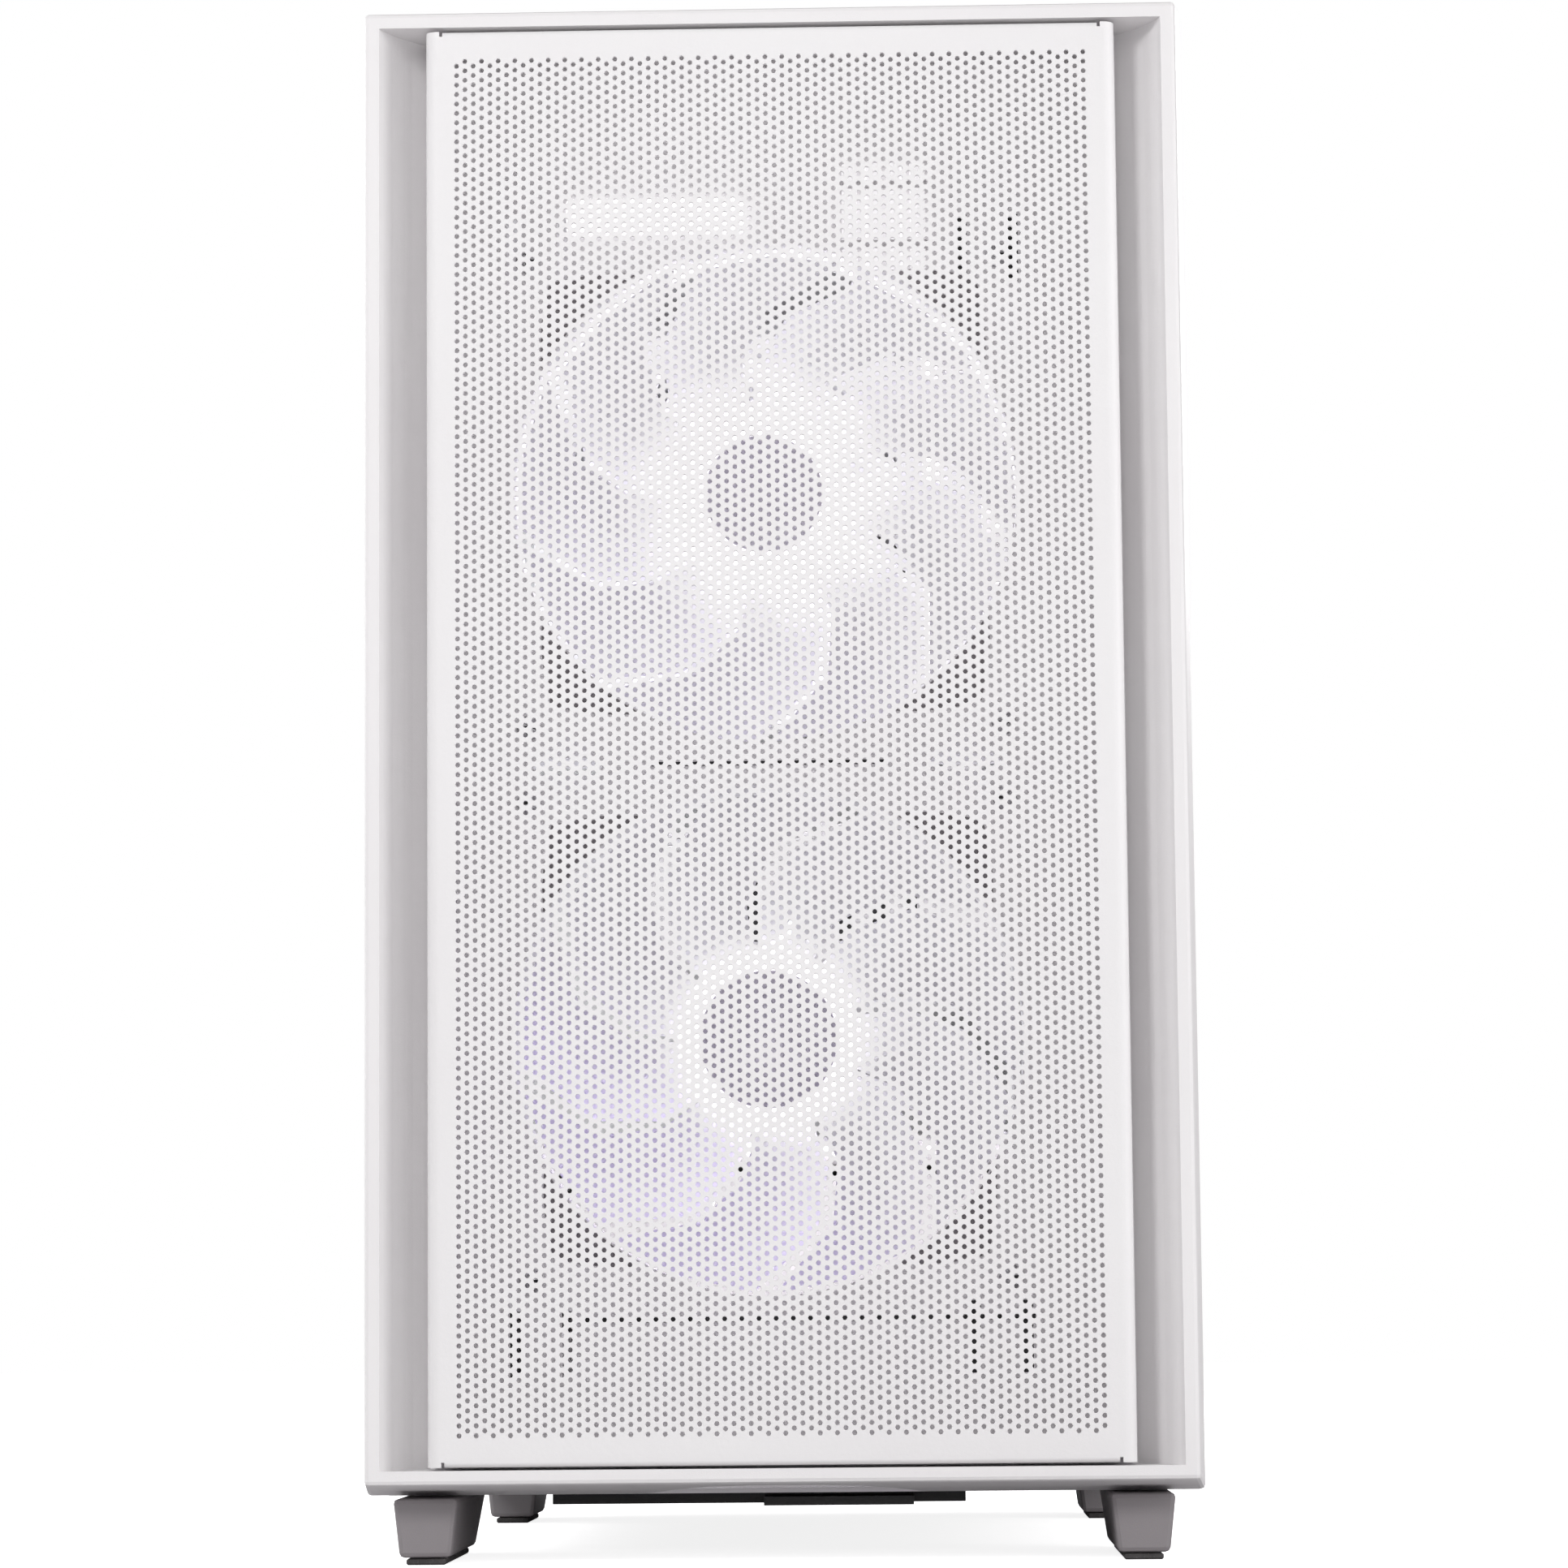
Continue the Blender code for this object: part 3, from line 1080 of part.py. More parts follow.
make_bezel()
make_front_panel()
make_front_plate()
make_bottom_plate()
make_top_plate()
make_rear_plate()
make_tray()
make_shroud()
make_glass()
make_steel_side()
make_thumbscrews()
make_top_filter()
make_bottom_filter()
make_feet()
make_case_fans()
make_board_parts(make_board())
make_cooler()
make_graphics_card()
make_power_supply()
make_drives()
make_front_io()
make_cables()
bpy.context.view_layer.update()
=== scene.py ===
"""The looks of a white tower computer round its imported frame: metres, +Z up, front at -Y."""

import math

import bmesh
import bpy
from mathutils import Matrix, Vector


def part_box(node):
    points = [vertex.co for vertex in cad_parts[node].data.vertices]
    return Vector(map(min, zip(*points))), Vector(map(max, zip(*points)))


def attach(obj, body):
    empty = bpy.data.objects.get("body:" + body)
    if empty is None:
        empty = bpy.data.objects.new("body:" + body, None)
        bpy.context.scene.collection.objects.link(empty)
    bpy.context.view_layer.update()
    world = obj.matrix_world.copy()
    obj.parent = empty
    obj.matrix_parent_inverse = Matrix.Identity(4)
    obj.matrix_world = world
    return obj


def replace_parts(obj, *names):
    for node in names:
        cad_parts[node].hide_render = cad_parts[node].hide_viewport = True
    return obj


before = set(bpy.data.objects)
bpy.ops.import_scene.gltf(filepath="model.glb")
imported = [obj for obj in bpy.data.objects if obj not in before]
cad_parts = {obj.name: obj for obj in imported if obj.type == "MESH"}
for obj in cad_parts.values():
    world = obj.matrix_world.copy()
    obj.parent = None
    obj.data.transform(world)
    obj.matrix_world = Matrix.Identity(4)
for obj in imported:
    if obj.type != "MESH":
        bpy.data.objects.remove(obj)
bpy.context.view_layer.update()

MM = 0.001
TURN = 2 * math.pi
UP, RIGHT, BACK = Vector((0, 0, 1)), Vector((1, 0, 0)), Vector((0, 1, 0))
DOWN, LEFT, FORWARD = -UP, -RIGHT, -BACK
POINT_MERGE, TILE_MERGE, SHEET_MERGE = 1e-7, 1e-6, 4e-6
LAID_FLAT = Matrix.Rotation(-math.pi / 2, 4, "X")


# ---- Mesh helpers -----------------------------------------------------------------------------

def middle(node):
    low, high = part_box(node)
    return (low + high) / 2


def finish_piece(bm, name, paint, body="case", smooth_below=35):
    """Turns a bmesh in metres into a piece that rides on a body."""
    mesh = bpy.data.meshes.new(name)
    bm.normal_update()
    bm.to_mesh(mesh)
    bm.free()
    mesh.materials.append(paint)
    mesh.set_sharp_from_angle(angle=math.radians(smooth_below))
    for face in mesh.polygons:
        face.use_smooth = True
    piece = bpy.data.objects.new(name, mesh)
    bpy.context.scene.collection.objects.link(piece)
    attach(piece, body)
    return piece


def soften(bm, edges, width, segments=2):
    bmesh.ops.bevel(bm, geom=list(edges), offset=width, offset_type="OFFSET", segments=segments,
                    profile=0.5, affect="EDGES", clamp_overlap=True, material=-1)


def sharp_edges(bm, angle=40):
    return [e for e in bm.edges if e.is_manifold and e.calc_face_angle(0) > math.radians(angle)]


def block(low, high, soft=0.0, segments=2):
    """A box between two corners, its edges rounded."""
    low, high = Vector(low), Vector(high)
    bm = bmesh.new()
    bmesh.ops.create_cube(bm, size=1.0)
    bmesh.ops.scale(bm, vec=high - low, verts=bm.verts)
    bmesh.ops.translate(bm, vec=(low + high) / 2, verts=bm.verts)
    if soft:
        soften(bm, bm.edges, soft, segments)
    return bm


def toward(direction):
    """The turn that takes +Z to a direction."""
    return UP.rotation_difference(Vector(direction).normalized()).to_matrix().to_4x4()


def spun(outline, steps, closed):
    """An outline of (radius, height) turned once round the Z axis."""
    bm = bmesh.new()
    points = [bm.verts.new((radius, 0, height)) for radius, height in outline]
    for first, second in zip(points, points[1:] + points[:1] if closed else points[1:]):
        bm.edges.new((first, second))
    bmesh.ops.spin(bm, geom=bm.verts[:] + bm.edges[:], axis=UP, cent=(0, 0, 0), angle=TURN,
                   steps=steps, use_merge=True, use_duplicate=False)
    bmesh.ops.remove_doubles(bm, verts=bm.verts, dist=POINT_MERGE)
    bmesh.ops.recalc_face_normals(bm, faces=bm.faces)
    return bm


def set_down(bm, place, direction):
    """Moves a mesh made round the origin to a place, its top toward a direction."""
    bmesh.ops.transform(bm, matrix=Matrix.Translation(place) @ toward(direction), verts=bm.verts)
    return bm


def turned(outline, place, direction, steps=32):
    """A solid of revolution. Its outline starts and ends on the axis."""
    return set_down(spun([(max(radius, 0), height) for radius, height in outline], steps, False),
                    place, direction)


def ring(inner, outer, low, high, place, direction, steps=48, soft=0.0):
    """A flat ring round an axis."""
    bm = spun([(inner, low), (outer, low), (outer, high), (inner, high)], steps, True)
    if soft:
        soften(bm, sharp_edges(bm), soft, 1)
    return set_down(bm, place, direction)


def join(meshes):
    """Several bmeshes as one, each part still closed."""
    whole = bmesh.new()
    for bm in meshes:
        carrier = bpy.data.meshes.new("carrier")
        bm.to_mesh(carrier)
        bm.free()
        whole.from_mesh(carrier)
        bpy.data.meshes.remove(carrier)
    return whole


def copied(bm, matrix):
    """A second copy of a bmesh, moved by a matrix."""
    copy = bm.copy()
    bmesh.ops.transform(copy, matrix=matrix, verts=copy.verts)
    return copy


def tube(points, radius, steps=8, smooth_passes=3):
    """A round rod or wire along points, closed at both ends."""
    path = [Vector(p) for p in points]
    for _ in range(smooth_passes):
        finer = [path[0]]
        for first, second in zip(path, path[1:]):
            finer += [first.lerp(second, 0.25), first.lerp(second, 0.75)]
        path = finer + [path[-1]]
    bm = bmesh.new()
    side = (path[1] - path[0]).orthogonal().normalized()
    previous, before = None, None
    for place, ahead in zip(path, path[1:] + [path[-1] * 2 - path[-2]]):
        along = (ahead - place).normalized()
        if before:
            side.rotate(before.rotation_difference(along))
        before = along
        made = bmesh.ops.create_circle(bm, segments=steps, radius=radius, cap_ends=False)["verts"]
        across = along.cross(side).normalized()
        turn = Matrix((side, across, along)).transposed().to_4x4()
        bmesh.ops.transform(bm, matrix=Matrix.Translation(place) @ turn, verts=made)
        loop = list({e for v in made for e in v.link_edges if not e.link_faces
                     and e.verts[0] in made and e.verts[1] in made})
        if previous:
            bmesh.ops.bridge_loops(bm, edges=previous + loop)
        previous = loop
    bmesh.ops.holes_fill(bm, edges=[e for e in bm.edges if e.is_boundary], sides=steps + 1)
    bmesh.ops.recalc_face_normals(bm, faces=bm.faces)
    return bm


# ---- Inside: helpers ---------------------------------------------------------------------------

def centred(centre, size, soft=0.3 * MM, segments=1):
    """A block given by its middle and its size, in millimetres."""
    centre, half = Vector(centre) * MM, Vector(size) * MM / 2
    return block(centre - half, centre + half, soft, segments)


def cluster(name, boxes, paint, body="case", soft=0.3 * MM):
    """Many small blocks as one piece, each given by its middle and its size in millimetres."""
    return finish_piece(join([centred(centre, size, soft) for centre, size in boxes]), name,
                        paint, body)


def window(width, height, wall, thickness, soft=0.2 * MM):
    """A flat rectangular frame round the origin, in x and y, standing on z 0."""
    bm = bmesh.new()
    bmesh.ops.create_grid(bm, x_segments=1, y_segments=1, size=0.5)
    bmesh.ops.scale(bm, vec=(width, height, 1), verts=bm.verts)
    plate = list(bm.faces)
    bmesh.ops.inset_individual(bm, faces=plate, thickness=wall)
    bmesh.ops.delete(bm, geom=plate, context="FACES_ONLY")
    raised = bmesh.ops.extrude_face_region(bm, geom=bm.faces[:])["geom"]
    bmesh.ops.translate(bm, vec=(0, 0, thickness),
                        verts=[v for v in raised if isinstance(v, bmesh.types.BMVert)])
    bmesh.ops.recalc_face_normals(bm, faces=bm.faces)
    if soft:
        soften(bm, sharp_edges(bm), soft, 1)
    return bm


# ---- Effects shared by several finishes -------------------------------------------------------

def effect(name, defaults, gives):
    """A shader node group with named sockets, its inputs set to their defaults."""
    group = bpy.data.node_groups.new(name, "ShaderNodeTree")
    for title, value in defaults.items():
        kind = "NodeSocketFloat" if isinstance(value, (int, float)) else "NodeSocketColor"
        socket = group.interface.new_socket(title, in_out="INPUT", socket_type=kind)
        socket.default_value = value if kind == "NodeSocketFloat" else (*value, 1)
    for title, kind in gives.items():
        group.interface.new_socket(title, in_out="OUTPUT", socket_type=kind)
    takes = group.nodes.new("NodeGroupInput").outputs
    return group, takes, group.nodes.new("NodeGroupOutput").inputs


def put(tree, node, position, value):
    """Links or sets a node's input by its position."""
    if isinstance(value, bpy.types.NodeSocket):
        tree.links.new(value, node.inputs[position])
    else:
        node.inputs[position].default_value = value


def sums(tree, operation, first, second=0.0, clamp=False):
    node = tree.nodes.new("ShaderNodeMath")
    node.operation, node.use_clamp = operation, clamp
    put(tree, node, 0, first)
    put(tree, node, 1, second)
    return node.outputs[0]


def blend(tree, share, first, second):
    """One colour over another by a share."""
    node = tree.nodes.new("ShaderNodeMix")
    node.data_type = "RGBA"
    put(tree, node, 0, share)
    for position, value in ((6, first), (7, second)):
        put(tree, node, position, (*value, 1) if isinstance(value, tuple) else value)
    return node.outputs[2]


def ramp(tree, value, low, high, start=0.0, end=1.0):
    """Carries a value from one span to another."""
    node = tree.nodes.new("ShaderNodeMapRange")
    for position, amount in enumerate((value, low, high, start, end)):
        put(tree, node, position, amount)
    return node.outputs[0]


def noise(tree, place, scale, detail=2.0, rough=0.5):
    node = tree.nodes.new("ShaderNodeTexNoise")
    tree.links.new(place, node.inputs["Vector"])
    put(tree, node, node.inputs.find("Scale"), scale)
    put(tree, node, node.inputs.find("Detail"), detail)
    put(tree, node, node.inputs.find("Roughness"), rough)
    return node.outputs[0]


def object_place(tree):
    return tree.nodes.new("ShaderNodeTexCoord").outputs["Object"]


GRAIN_OUT = {"Colour": "NodeSocketColor", "Roughness": "NodeSocketFloat",
             "Height": "NodeSocketFloat"}


def make_coat_grain():
    """Sprayed or moulded skin: soft ripples, a fine pebble and a faint cloudiness of tone."""
    group, takes, gives = effect("coat grain", {
        "Colour": (0.8, 0.8, 0.8), "Shade": (0.7, 0.7, 0.7), "Ripple Size": 700.0,
        "Pebble Size": 3000.0, "Pebble Share": 0.4, "Smoothest": 0.35, "Roughest": 0.55}, GRAIN_OUT)
    place = object_place(group)
    ripple = noise(group, place, takes["Ripple Size"], 2.0)
    pebble = noise(group, place, takes["Pebble Size"], 2.0, 0.6)
    cloud = noise(group, place, 14.0, 3.0)
    height = sums(group, "ADD", sums(group, "MULTIPLY", pebble, takes["Pebble Share"]), ripple)
    tone = sums(group, "MULTIPLY", ramp(group, cloud, 0.35, 0.7), 0.5)
    tone = sums(group, "ADD", tone, ramp(group, pebble, 0.45, 0.75, 0.0, 0.25), clamp=True)
    group.links.new(blend(group, tone, takes["Colour"], takes["Shade"]), gives["Colour"])
    group.links.new(ramp(group, ripple, 0.3, 0.7, takes["Smoothest"], takes["Roughest"]),
                    gives["Roughness"])
    group.links.new(height, gives["Height"])
    return group


def make_brushed_grain():
    """Metal with fine lines drawn along one axis, and a few deeper scratches."""
    group, takes, gives = effect("brushed grain", {
        "Colour": (0.6, 0.6, 0.6), "Shade": (0.4, 0.4, 0.4), "Along X": 1.0, "Along Y": 1.0,
        "Along Z": 1.0, "Line Size": 4000.0, "Smoothest": 0.2, "Roughest": 0.4}, GRAIN_OUT)
    stretch = group.nodes.new("ShaderNodeCombineXYZ")
    for position, title in enumerate(("Along X", "Along Y", "Along Z")):
        put(group, stretch, position, takes[title])
    drawn = group.nodes.new("ShaderNodeVectorMath")
    drawn.operation = "MULTIPLY"
    put(group, drawn, 0, object_place(group))
    put(group, drawn, 1, stretch.outputs[0])
    lines = noise(group, drawn.outputs[0], takes["Line Size"], 3.0, 0.7)
    stains = noise(group, object_place(group), 60.0, 4.0, 0.6)
    group.links.new(blend(group, ramp(group, lines, 0.3, 0.75), takes["Colour"], takes["Shade"]),
                    gives["Colour"])
    mixed = sums(group, "MULTIPLY", sums(group, "ADD", lines, stains), 0.5)
    group.links.new(ramp(group, mixed, 0.35, 0.65, takes["Smoothest"], takes["Roughest"]),
                    gives["Roughness"])
    group.links.new(lines, gives["Height"])
    return group


def make_settled_dust():
    """Thin dust: more on faces that look up and a little in patches elsewhere."""
    group, takes, gives = effect("settled dust", {
        "Colour": (0.8, 0.8, 0.8), "Dust": (0.55, 0.52, 0.5), "Amount": 0.1, "Roughness": 0.5},
        {"Colour": "NodeSocketColor", "Roughness": "NodeSocketFloat"})
    facing = group.nodes.new("ShaderNodeSeparateXYZ")
    put(group, facing, 0, group.nodes.new("ShaderNodeNewGeometry").outputs["Normal"])
    up = ramp(group, facing.outputs[2], -0.2, 1.0, 0.15, 1.0)
    place = object_place(group)
    patch = ramp(group, noise(group, place, 45.0, 5.0, 0.65), 0.38, 0.7)
    specks = ramp(group, noise(group, place, 2600.0, 1.0), 0.62, 0.72)
    cover = sums(group, "MULTIPLY", sums(group, "ADD", patch, specks), up)
    cover = sums(group, "MULTIPLY", cover, takes["Amount"], clamp=True)
    group.links.new(blend(group, cover, takes["Colour"], takes["Dust"]), gives["Colour"])
    group.links.new(sums(group, "ADD", takes["Roughness"], sums(group, "MULTIPLY", cover, 0.3)),
                    gives["Roughness"])
    return group


COAT_GRAIN, BRUSHED_GRAIN = make_coat_grain(), make_brushed_grain()
SETTLED_DUST = make_settled_dust()


def finish(name, grain, values, depth, dust=0.08, metallic=0.0, emission=None, **shader):
    """A finish made of a grain and settled dust. depth is the height of the grain in metres."""
    paint = bpy.data.materials.new(name)
    paint.use_nodes = True
    tree = paint.node_tree
    surface = tree.nodes["Principled BSDF"]
    skin = tree.nodes.new("ShaderNodeGroup")
    skin.node_tree = grain
    for title, value in values.items():
        skin.inputs[title].default_value = (*value, 1) if isinstance(value, tuple) else value
    settled = tree.nodes.new("ShaderNodeGroup")
    settled.node_tree = SETTLED_DUST
    settled.inputs["Amount"].default_value = dust
    for title in ("Colour", "Roughness"):
        tree.links.new(skin.outputs[title], settled.inputs[title])
    tree.links.new(settled.outputs["Colour"], surface.inputs["Base Color"])
    tree.links.new(settled.outputs["Roughness"], surface.inputs["Roughness"])
    bump = tree.nodes.new("ShaderNodeBump")
    bump.inputs["Distance"].default_value = depth
    tree.links.new(skin.outputs["Height"], bump.inputs["Height"])
    tree.links.new(bump.outputs[0], surface.inputs["Normal"])
    surface.inputs["Metallic"].default_value = metallic
    if emission:
        surface.inputs["Emission Color"].default_value = (*emission[0], 1)
        surface.inputs["Emission Strength"].default_value = emission[1]
    for title, value in shader.items():
        surface.inputs[title.replace("_", " ")].default_value = value
    return paint


def coated(name, colour, shade, smoothest=0.35, roughest=0.55, ripple=700.0, pebble=3000.0,
           share=0.4, depth=0.00003, **more):
    return finish(name, COAT_GRAIN, {
        "Colour": colour, "Shade": shade, "Ripple Size": ripple, "Pebble Size": pebble,
        "Pebble Share": share, "Smoothest": smoothest, "Roughest": roughest}, depth, **more)


def brushed(name, colour, shade, along=(1, 1, 1), smoothest=0.2, roughest=0.4, line=3000.0,
            depth=0.000006, **more):
    return finish(name, BRUSHED_GRAIN, {
        "Colour": colour, "Shade": shade, "Along X": along[0], "Along Y": along[1],
        "Along Z": along[2], "Line Size": line, "Smoothest": smoothest, "Roughest": roughest},
        depth, metallic=1.0, **more)


white_panel_paint = coated("white panel powder coat", (0.86, 0.85, 0.855), (0.82, 0.80, 0.81),
                           0.40, 0.58, ripple=900.0, depth=0.00006, dust=0.02)
white_chassis_paint = coated("white chassis paint", (0.80, 0.79, 0.80), (0.74, 0.72, 0.74),
                             0.38, 0.55, ripple=800.0, dust=0.06)
white_moulding = coated("white frame moulding", (0.86, 0.845, 0.85), (0.82, 0.80, 0.81), 0.42, 0.6,
                        ripple=2400.0, pebble=6000.0, share=0.6, depth=0.00003, dust=0.02)
# The feet's moulding is darkened to a deep grey: painted shade for the shadow that falls on them under
# the case's overhang.
foot_moulding_with_painted_shade = coated("white foot moulding darkened with painted shade", (0.27, 0.25, 0.26), (0.23, 0.21, 0.22), 0.5, 0.7,
                       ripple=2400.0, pebble=6000.0, share=0.6, depth=0.00003, dust=0.05)
# The fan frames give off a faint painted glow that brightens them as if lit.
fan_frame_painted_glow = coated("white fan frame plastic with painted glow", (0.84, 0.83, 0.86), (0.78, 0.77, 0.81),
                           0.25, 0.4, ripple=500.0, depth=0.00001,
                           emission=((0.97, 0.95, 1.0), 0.1))
# The blade plastic gives off a faint, even glow.
glowing_blade_plastic = coated("glowing milky fan blade plastic", (0.86, 0.85, 0.89), (0.80, 0.79, 0.85),
                           0.18, 0.32, ripple=300.0, depth=0.000008,
                           emission=((0.95, 0.93, 1.0), 0.3))
hub_cap_film = coated("violet hub cap film", (0.74, 0.71, 0.80), (0.64, 0.58, 0.76), 0.2, 0.32,
                      ripple=200.0, depth=0.000004, Coat_Weight=0.5)
light_ring_plastic = coated("milky light ring", (0.92, 0.92, 0.94), (0.88, 0.88, 0.91), 0.2, 0.3,
                            depth=0.000004, dust=0.0, emission=((1.0, 0.985, 1.0), 1.1))
# The front plate's paint gives off a faint painted glow that stands in for light from the fans falling
# on it.
front_plate_painted_glow = coated("chassis paint with painted glow", (0.80, 0.79, 0.80), (0.74, 0.72, 0.74), 0.38, 0.55,
                           ripple=800.0, emission=((1.0, 0.96, 0.98), 0.10))
# The pull tab glows: a painted highlight that makes it show almost white through the panel's holes.
tab_painted_glow = coated("tab plastic with painted glow", (0.92, 0.92, 0.93), (0.88, 0.88, 0.9), 0.2, 0.3,
                    depth=0.000004, dust=0.0, emission=((1.0, 0.99, 1.0), 1.3))
# Grey used as painted shade in the recesses round the fans' corners.
painted_plate_shade = coated("painted recess shade", (0.30, 0.28, 0.29), (0.36, 0.34, 0.35), 0.5, 0.7,
                     depth=0.00001)
# The front leads give off a painted glow that stands in for the highlights on them.
front_lead_painted_glow = coated("lead skin with painted glow", (0.85, 0.85, 0.86), (0.75, 0.75, 0.76), 0.25, 0.4,
                         ripple=1400.0, depth=0.00003, emission=((1.0, 0.98, 1.0), 0.6))
steel_plain = brushed("plain bright steel", (0.62, 0.62, 0.63), (0.5, 0.5, 0.52), (1, 1, 0.1))
nickel_plate = brushed("nickel plate", (0.72, 0.71, 0.69), (0.6, 0.59, 0.58), (1, 1, 1), 0.12, 0.26)
fin_aluminium = brushed("cooler aluminium", (0.80, 0.80, 0.82), (0.68, 0.68, 0.71), (1, 0.08, 1),
                        0.22, 0.38)
drive_aluminium = brushed("cast aluminium", (0.62, 0.62, 0.64), (0.5, 0.5, 0.52), (1, 1, 1), 0.35,
                          0.5, line=900.0, depth=0.00002)
gold_plate = brushed("gold plated contacts", (0.83, 0.62, 0.28), (0.7, 0.5, 0.2), (1, 1, 1), 0.15,
                     0.3)
# Black moulded plastic for the real black parts; it is also the painted shade in thin dark inlays for
# the shadowed insides of slots, vents, sockets and screw recesses.
black_plastic_and_painted_shade = coated("black moulded plastic and painted shade", (0.022, 0.022, 0.024), (0.035, 0.035, 0.038), 0.35,
                       0.55, ripple=2000.0, pebble=5000.0, depth=0.00002)
grey_plastic = coated("grey connector plastic", (0.30, 0.30, 0.31), (0.24, 0.24, 0.25), 0.35, 0.5,
                      ripple=2000.0, pebble=5000.0, depth=0.00001)
pad_rubber = coated("foot rubber", (0.035, 0.032, 0.034), (0.06, 0.056, 0.058), 0.7, 0.9,
                    ripple=1500.0, depth=0.00005, dust=0.3)
grip_rubber = coated("grommet rubber", (0.05, 0.05, 0.052), (0.08, 0.08, 0.082), 0.6, 0.8,
                     ripple=1500.0, depth=0.00003)
cable_skin = coated("white cable skin", (0.78, 0.77, 0.77), (0.66, 0.65, 0.65), 0.45, 0.6,
                    ripple=1400.0, pebble=4000.0, depth=0.00004)
port_blue = coated("port tongue", (0.30, 0.42, 0.58), (0.26, 0.36, 0.5), 0.3, 0.45, depth=0.000005)


def make_hub_glow():
    """Light that spreads from a hub over the blades, with a coloured patch low on one side."""
    group, takes, gives = effect("hub glow", {
        "Middle X": 0.0, "Middle Z": 0.2, "Inner": 0.02, "Outer": 0.05, "Bright": (1.0, 0.98, 1.0),
        "Faint": (0.3, 0.29, 0.3), "Tint": (0.7, 0.6, 1.0), "Tint Share": 0.5},
        {"Colour": "NodeSocketColor"})
    parts = group.nodes.new("ShaderNodeSeparateXYZ")
    put(group, parts, 0, object_place(group))
    across = sums(group, "SUBTRACT", parts.outputs[0], takes["Middle X"])
    level = sums(group, "SUBTRACT", parts.outputs[2], takes["Middle Z"])
    square = sums(group, "ADD", sums(group, "MULTIPLY", across, across),
                  sums(group, "MULTIPLY", level, level))
    spread = ramp(group, sums(group, "SQRT", square), takes["Inner"], takes["Outer"])
    lit = blend(group, spread, takes["Bright"], takes["Faint"])
    side = sums(group, "ADD", across, sums(group, "MULTIPLY", level, 1.4))
    patch = sums(group, "MULTIPLY", ramp(group, side, -0.02, -0.06), spread)
    patch = sums(group, "MULTIPLY", patch, takes["Tint Share"], clamp=True)
    group.links.new(blend(group, patch, lit, takes["Tint"]), gives["Colour"])
    return group


HUB_GLOW = make_hub_glow()


def glowing_blades(name, node, inner, outer, faint, tint_share):
    """Milky blade plastic that glows round the hub."""
    paint = coated(name, (0.86, 0.85, 0.89), (0.80, 0.79, 0.85), 0.18, 0.32, ripple=300.0,
                   depth=0.000008, emission=((1, 1, 1), 0.85))
    tree = paint.node_tree
    glow = tree.nodes.new("ShaderNodeGroup")
    glow.node_tree = HUB_GLOW
    hub = middle(node)
    for title, value in (("Middle X", hub.x), ("Middle Z", hub.z), ("Inner", inner),
                         ("Outer", outer), ("Tint Share", tint_share),
                         ("Faint", (*faint, 1)), ("Tint", (0.20, 0.14, 0.38, 1))):
        glow.inputs[title].default_value = value
    tree.links.new(glow.outputs["Colour"],
                   tree.nodes["Principled BSDF"].inputs["Emission Color"])
    return paint


upper_blade_glow = glowing_blades("upper fan blades", "front_fan_upper_rotor", 21 * MM, 40 * MM,
                                  (0.07, 0.068, 0.073), 0.15)
lower_blade_glow = glowing_blades("lower fan blades", "front_fan_lower_rotor", 21 * MM, 30 * MM,
                                  (0.05, 0.048, 0.052), 0.6)


def make_board_finish():
    """Solder mask with faint tracks that run one way in patches, and plated spots."""
    paint = coated("white solder mask", (0.74, 0.74, 0.75), (0.66, 0.66, 0.68), 0.3, 0.42,
                   ripple=900.0, depth=0.000006)
    tree = paint.node_tree
    surface, place = tree.nodes["Principled BSDF"], object_place(tree)
    tracks = tree.nodes.new("ShaderNodeTexWave")
    tracks.wave_type, tracks.bands_direction = "BANDS", "Z"
    tree.links.new(place, tracks.inputs["Vector"])
    tracks.inputs["Scale"].default_value = 260.0
    lines = ramp(tree, tracks.outputs["Fac"], 0.80, 0.9)
    patches = ramp(tree, noise(tree, place, 32.0, 0.0), 0.5, 0.53)
    spots = tree.nodes.new("ShaderNodeTexVoronoi")
    spots.feature = "F1"
    tree.links.new(place, spots.inputs["Vector"])
    spots.inputs["Scale"].default_value = 170.0
    dots = ramp(tree, spots.outputs["Distance"], 0.12, 0.09)
    before = surface.inputs["Base Color"].links[0].from_socket
    ink = sums(tree, "MULTIPLY", sums(tree, "MULTIPLY", lines, patches), 0.35)
    lined = blend(tree, ink, before, (0.45, 0.45, 0.47))
    tree.links.new(blend(tree, sums(tree, "MULTIPLY", dots, 0.6), lined, (0.5, 0.46, 0.38)),
                   surface.inputs["Base Color"])
    return paint


def make_glass_finish():
    """Clear glass with faint smears, which casts no shade."""
    paint = bpy.data.materials.new("clear tempered glass")
    paint.use_nodes = True
    tree = paint.node_tree
    surface = tree.nodes["Principled BSDF"]
    surface.inputs["Base Color"].default_value = (0.97, 0.985, 0.98, 1)
    surface.inputs["Transmission Weight"].default_value = 1.0
    surface.inputs["IOR"].default_value = 1.5
    smears = noise(tree, object_place(tree), 22.0, 4.0, 0.6)
    tree.links.new(ramp(tree, smears, 0.5, 0.8, 0.0, 0.03), surface.inputs["Roughness"])
    clear = tree.nodes.new("ShaderNodeBsdfTransparent")
    clear.inputs["Color"].default_value = (0.9, 0.92, 0.915, 1)
    rays = tree.nodes.new("ShaderNodeLightPath")
    passing = sums(tree, "MAXIMUM", rays.outputs["Is Shadow Ray"], rays.outputs["Is Diffuse Ray"])
    choice = tree.nodes.new("ShaderNodeMixShader")
    tree.links.new(passing, choice.inputs["Fac"])
    tree.links.new(surface.outputs[0], choice.inputs[1])
    tree.links.new(clear.outputs[0], choice.inputs[2])
    tree.links.new(choice.outputs[0], tree.nodes["Material Output"].inputs["Surface"])
    return paint


board_mask = make_board_finish()
clear_glass = make_glass_finish()


# ---- Perforated sheets ------------------------------------------------------------------------

